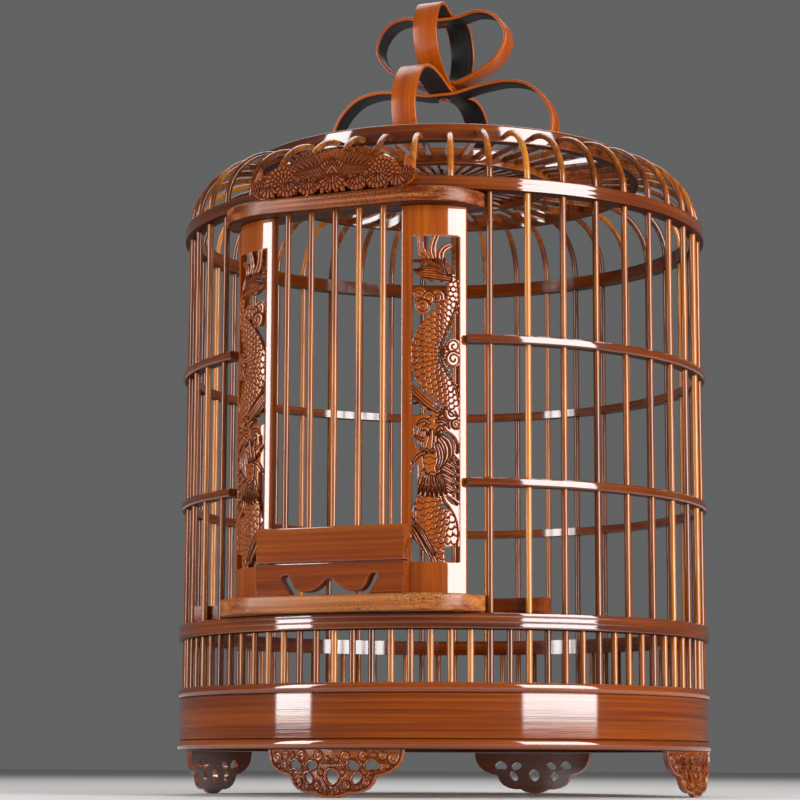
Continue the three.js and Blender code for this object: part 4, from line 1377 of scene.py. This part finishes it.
pillar_depth[block] = np.where(opened, window_face, 0)
pillar_depth += fall_to_saw(pillar_wood)
pillar_depth += fall_to_edge(u, width=1.2, drop=0.7) + fall_to_edge(pillar_width - u, width=0.9, drop=0.9)
pillar_bamboo = varnished_bamboo(
    "pillar_bamboo", pillar_colours, fibre=(7, 420, 420), flame=(5, 150, 150), relief=0.08,
)
for side, word in ((1, "right"), (-1, "left")):
    def on_culm(u, z, depth):
        turn = u / (pillar_arc / mm)
        radius = pillar_arc / mm - depth
        x = side * (doorway_half / mm + radius * np.sin(turn))
        y = axis_y / mm - (pillar_face - pillar_arc) / mm - radius * np.cos(turn)
        return np.stack([x, y, z + pillar_low / mm], -1)

    pillar, grain, points = carved_plate(
        f"pillar_{word}_openwork", pillar_across, pillar_up, pillar_wood, pillar_cut, pillar_depth,
        pillar_thickness / mm, on_culm, flip=side < 0,
    )
    grain.data.foreach_set("vector", (points[:, [1, 0, 2]] + (side, side, 0)).ravel())
    fit_piece(pillar, "cage", pillar_bamboo, "bamboo_skin", f"pillar_{word}")

# Crest: a thin panel sawn and carved with feathers and leaves round a small gable, standing on
# the top board in front of the hoop. It hides the ends of the door's rods when the door is lifted.
crest_low, crest_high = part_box("crest_panel")
crest_half = 56
crest_height = (crest_high[2] - crest_low[2]) / mm
crest_face = -crest_low[1] / mm
crest_thickness = 2.8
crest_step = 0.34
crest_colours = ((0.110, 0.015, 0.0003), (0.240, 0.041, 0.0003), (0.400, 0.094, 0.0018))


def on_side(side, points):
    return [(side * x, z, half) for x, z, half in points]


def fan(carving, x, y, from_degrees, to_degrees, count, length, half, lines=2, tip=1.05):
    """Leaves that spread from one point, the middle ones laid last."""
    order = sorted(range(count), key=lambda k: -abs(k - (count - 1) / 2))
    for k in order:
        turn = radians(from_degrees + (to_degrees - from_degrees) * k / (count - 1))
        leaf = []
        for share, width in ((0.1, 0.5), (0.5, 0.9), (0.86, tip)):
            reach = share * length
            leaf.append((x + reach * cos(turn), y + reach * sin(turn), half * width))
        carving.hair(leaf, lines)


def carve_crest(carving):
    """Two feathered wings beside a gable, on leafy lobes, with a pointed leaf at each end."""
    for side in (-1, 1):
        end_leaf = [(44.0, 1.6, 3.0), (48.4, 6.6, 4.4), (49.0, 12.0, 2.8), (47.6, 19.0, 0.4)]
        carving.lay(carving.off(on_side(side, end_leaf)), 0, 0.1)
        fan(carving, side * 46.4, 1.2, 90 - side * 50, 90 + side * 12, 6, 12.5, 0.9, 1, 0.5)
        fan(carving, side * 47.0, 1.2, 90 - side * 42, 90 + side * 30, 5, 7.0, 0.9, 1, 0.6)
        for ground in (
            [(3.0, 11.0, 6.0), (11.0, 16.6, 6.6), (20.0, 17.4, 5.8), (27.0, 16.6, 4.2)],
            [(26, 9.5, 8.2), (34.5, 9.5, 8.2)],
        ):
            carving.lay(carving.off(on_side(side, ground)), 0.6, 0)
        for reach, count, half in ((12.6, 17, 1.25), (9.8, 14, 1.15), (7.0, 10, 1.0), (4.4, 7, 0.9)):
            fan(carving, side * 32.0, 8.0, -25, 205, count, reach, half, 1)
        for k in range(11):
            share = k / 10
            x = 33.4 - 24.6 * share
            z = 21.8 + 4.6 * sin(pi / 2 * min(1, share * 1.5)) + 0.9 * (k % 2)
            knee = (4 + 0.52 * (x - 4), 7.6 + 0.50 * (z - 7.6) + 0.9 * (1 - share), 1.35)
            carving.hair(on_side(side, [(2.5, 7.0, 1.2), knee, (x, z, 0.45)]), 2)
        for k in range(8):
            share = k / 7
            x, z = 25.5 - 18.5 * share, 14.6 + 6.6 * share
            knee = (3 + 0.55 * (x - 3), 7.4 + 0.5 * (z - 7.4), 1.15)
            carving.hair(on_side(side, [(2.5, 7.0, 1.0), knee, (x, z, 0.5)]), 2)
        for x in (16.0, 29.6):
            fan(carving, side * x, 8.4, -155, -25, 7, 7.8, 1.35, 1)
            fan(carving, side * x, 8.8, -160, -20, 6, 4.6, 1.1, 1)
        fan(carving, side * 42.0, 7.6, -150, -40, 5, 7.0, 1.2, 1)
        carving.curl(side * 22.4, 10.4, 2.2, side, 1.4)
        carving.curl(side * 12.2, 9.6, 2.0, -side, 0.6)
        fan(carving, side * 4.8, 8.4, -140, -40, 4, 7.8, 1.3, 1)
    fan(carving, 0, 7.0, 58, 122, 9, 22.6, 1.3, 2, 0.8)
    fan(carving, 0, 9.0, 52, 128, 8, 13.0, 1.2, 1, 0.8)
    fan(carving, 0, 10.4, -158, -22, 8, 9.0, 1.2, 1)
    fan(carving, 0, 11.4, -150, -30, 6, 5.0, 1.0, 1)
    for gable, lift in (
        ([(-5.6, 12.6, 1.2), (0, 20.8, 1.0), (5.6, 12.6, 1.2)], 0.35),
        ([(-3.4, 12.6, 1.0), (0, 16.8, 0.9), (3.4, 12.6, 1.0)], 0.2),
    ):
        carving.lay(carving.off(gable, smooth=False), 0, lift)
    for start, end in (((-5.6, 12.8), (0, 21.0)), ((0, 21.0), (5.6, 12.8)), ((-5.8, 11.9), (5.8, 11.9))):
        carving.engrave([start, end])
    carving.cut *= 0.85
    for x in (-37.5, -22.6, -9.6, 0, 9.6, 22.6, 37.5):
        carving.pierce(carving.off([(x, -0.6, 2.3), (x, 3.6, 0.2)], smooth=False))
    for x in (-33.0, -27.2, -18.6, -13.4, -4.9, 4.9, 13.4, 18.6, 27.2, 33.0):
        carving.pierce(carving.disc(x, -0.5, 1.3))


crest_across = np.linspace(-crest_half, crest_half, ceil(2 * crest_half / crest_step))
crest_up = np.linspace(0, crest_height, ceil(crest_height / crest_step))
carving = Carving(crest_across, crest_up)
carve_crest(carving)
crest_depth = carved_face(carving, sunk=0.25, relief=0.3, knife_depth=0.4) + fall_to_saw(carving.wood)
edge_gap = np.minimum(crest_half - np.abs(carving.x), crest_height - carving.y)
crest_wood = np.maximum(carving.wood, 0.01 - edge_gap)


def on_board(u, z, depth):
    return np.stack([u, depth - crest_face, z + crest_low[2] / mm], -1)


crest, grain, points = carved_plate(
    "crest_carved", crest_across, crest_up, crest_wood, carving.cut, crest_depth, crest_thickness, on_board,
)
grain.data.foreach_set("vector", points.ravel())
crest_bamboo = varnished_bamboo("crest_bamboo", crest_colours, relief=0.1, gloss=0.3, varnish=0.3)
fit_piece(crest, "cage", crest_bamboo, "bamboo_skin", "crest_panel")

# Feet: four curved plates glued inside the lower edge of the band, sawn to scrolls, pierced,
# and carved all over with small clouds inside a raised rim. The cage stands on their edges.
foot_half = 44
foot_height = 27.7
foot_thickness = 3.8
foot_radius = band_radius / mm - 1.2
foot_step = 0.36
foot_rim = 1.3
rim_line = 0.35
well_above = 60
foot_edge = [
    (44, 27.8), (43.7, 24.5), (42.6, 21.0), (40.2, 17.6), (36.4, 14.9), (32.0, 13.1), (28.0, 12.3),
    (27.1, 10.9), (25.9, 8.2), (23.2, 5.3), (19.2, 3.4), (14.6, 2.5), (10.0, 2.5), (8.6, 1.5),
    (6.2, 0.6), (3.2, 0.1), (0, 0),
]
foot_clouds = [
    (37.6, 22.6, 3.6), (32.0, 17.6, 2.9), (31.2, 24.2, 2.6), (20.0, 24.2, 3.2), (26.0, 24.6, 1.9),
    (8.6, 23.8, 3.2), (2.9, 22.0, 1.9), (20.6, 15.2, 2.1), (21.8, 8.8, 2.9), (6.9, 14.6, 2.0),
    (9.6, 7.0, 2.8), (15.8, 6.0, 1.9), (3.4, 4.4, 2.3), (27.4, 14.0, 1.4), (36.6, 17.2, 1.5),
]
foot_holes = [
    [(22.6, 18.2, 2.1), (24.8, 19.4, 2.5), (27.0, 18.4, 2.1)],
    [(11.6, 18.8, 2.0), (13.2, 18.6, 2.5), (14.9, 17.9, 2.1)],
    [(16.2, 12.7, 2.1), (15.7, 11.6, 2.5), (14.4, 10.3, 2.1)],
]
foot_centre = (0, 12.2, 4.0)
cloud_tail = [(0, 0.5, 0.7), (1.5, 0.9, 0.5), (2.6, 0.6, 0.2)]


def outside_of(carving, points):
    """How far each place lies outside a closed outline."""
    distance = np.full(carving.x.shape, 99.0)
    inside = np.zeros(carving.x.shape, bool)
    for (ax, ay), (bx, by) in zip(points, points[1:] + points[:1]):
        dx, dy = bx - ax, by - ay
        t = np.clip(((carving.x - ax) * dx + (carving.y - ay) * dy) / (dx * dx + dy * dy), 0, 1)
        distance = np.minimum(distance, np.hypot(carving.x - ax - t * dx, carving.y - ay - t * dy))
        if dy:
            crosses = ((ay > carving.y) != (by > carving.y)) & (carving.x < ax + dx * (carving.y - ay) / dy)
            inside ^= crosses
    return np.where(inside, -distance, distance)


foot_across = np.linspace(-foot_half, foot_half, ceil(2 * foot_half / foot_step))
foot_up = np.linspace(0, foot_height, ceil(foot_height / foot_step))
carving = Carving(foot_across, foot_up)
right_half = [(foot_half, well_above)] + foot_edge
outline = right_half + [(-x, z) for x, z in reversed(right_half[:-1])]
edge_gap = outside_of(carving, outline)
carving.wood = edge_gap.copy()
carving.cut = knife(np.abs(edge_gap + foot_rim + rim_line), 1.2)
matting = 0.35 + 0.35 * np.sin(4.2 * np.abs(carving.x) + 3.1 * carving.y + 1.6 * np.sin(0.9 * carving.y))
carving.cut = np.maximum(carving.cut, np.where(edge_gap < -foot_rim - 0.6, matting, 0))
carving.lift = np.where(edge_gap > -foot_rim, 0.8, 0)
fenced = edge_gap > -foot_rim - 0.5
for x, z, radius in foot_clouds:
    for side in (-1, 1):
        rim_cut, rim_lift = carving.cut, carving.lift
        tail = [(x - back * radius, z - down * radius, half * radius) for back, down, half in cloud_tail]
        carving.hair(on_side(side, tail), 3)
        carving.curl(side * x, z, radius, side, x, 0.35)
        carving.cut = np.where(fenced, rim_cut, carving.cut)
        carving.lift = np.where(fenced, rim_lift, carving.lift)
for hole in foot_holes:
    for side in (-1, 1):
        outside = carving.off(on_side(side, hole))
        carving.lay(outside - 0.8, 0, 0.7)
        carving.pierce(outside)
x, z, radius = foot_centre
carving.lay(carving.disc(x, z, radius + 1.3), 0, 0.8)
carving.pierce(carving.disc(x, z, radius))
carving.wood = np.maximum(carving.wood, edge_gap)
foot_depth = carved_face(carving, sunk=0.8, relief=0.9, knife_depth=0.45) + fall_to_saw(carving.wood)
carving.cut *= 0.7
foot_bamboo = varnished_bamboo("foot_bamboo", crest_colours, relief=0.1, gloss=0.16)
for number, word in enumerate(("front", "right", "back", "left")):
    def on_band(u, z, depth):
        turn = u / foot_radius + number * pi / 2
        radius = foot_radius - depth
        return np.stack([radius * np.sin(turn), axis_y / mm - radius * np.cos(turn), z], -1)

    foot, grain, points = carved_plate(
        f"foot_{word}_carved", foot_across, foot_up, carving.wood, carving.cut, foot_depth,
        foot_thickness, on_band,
    )
    grain.data.foreach_set("vector", (points + (number, 0, 0)).ravel())
    fit_piece(foot, "cage", foot_bamboo, "bamboo_skin", f"foot_{word}")
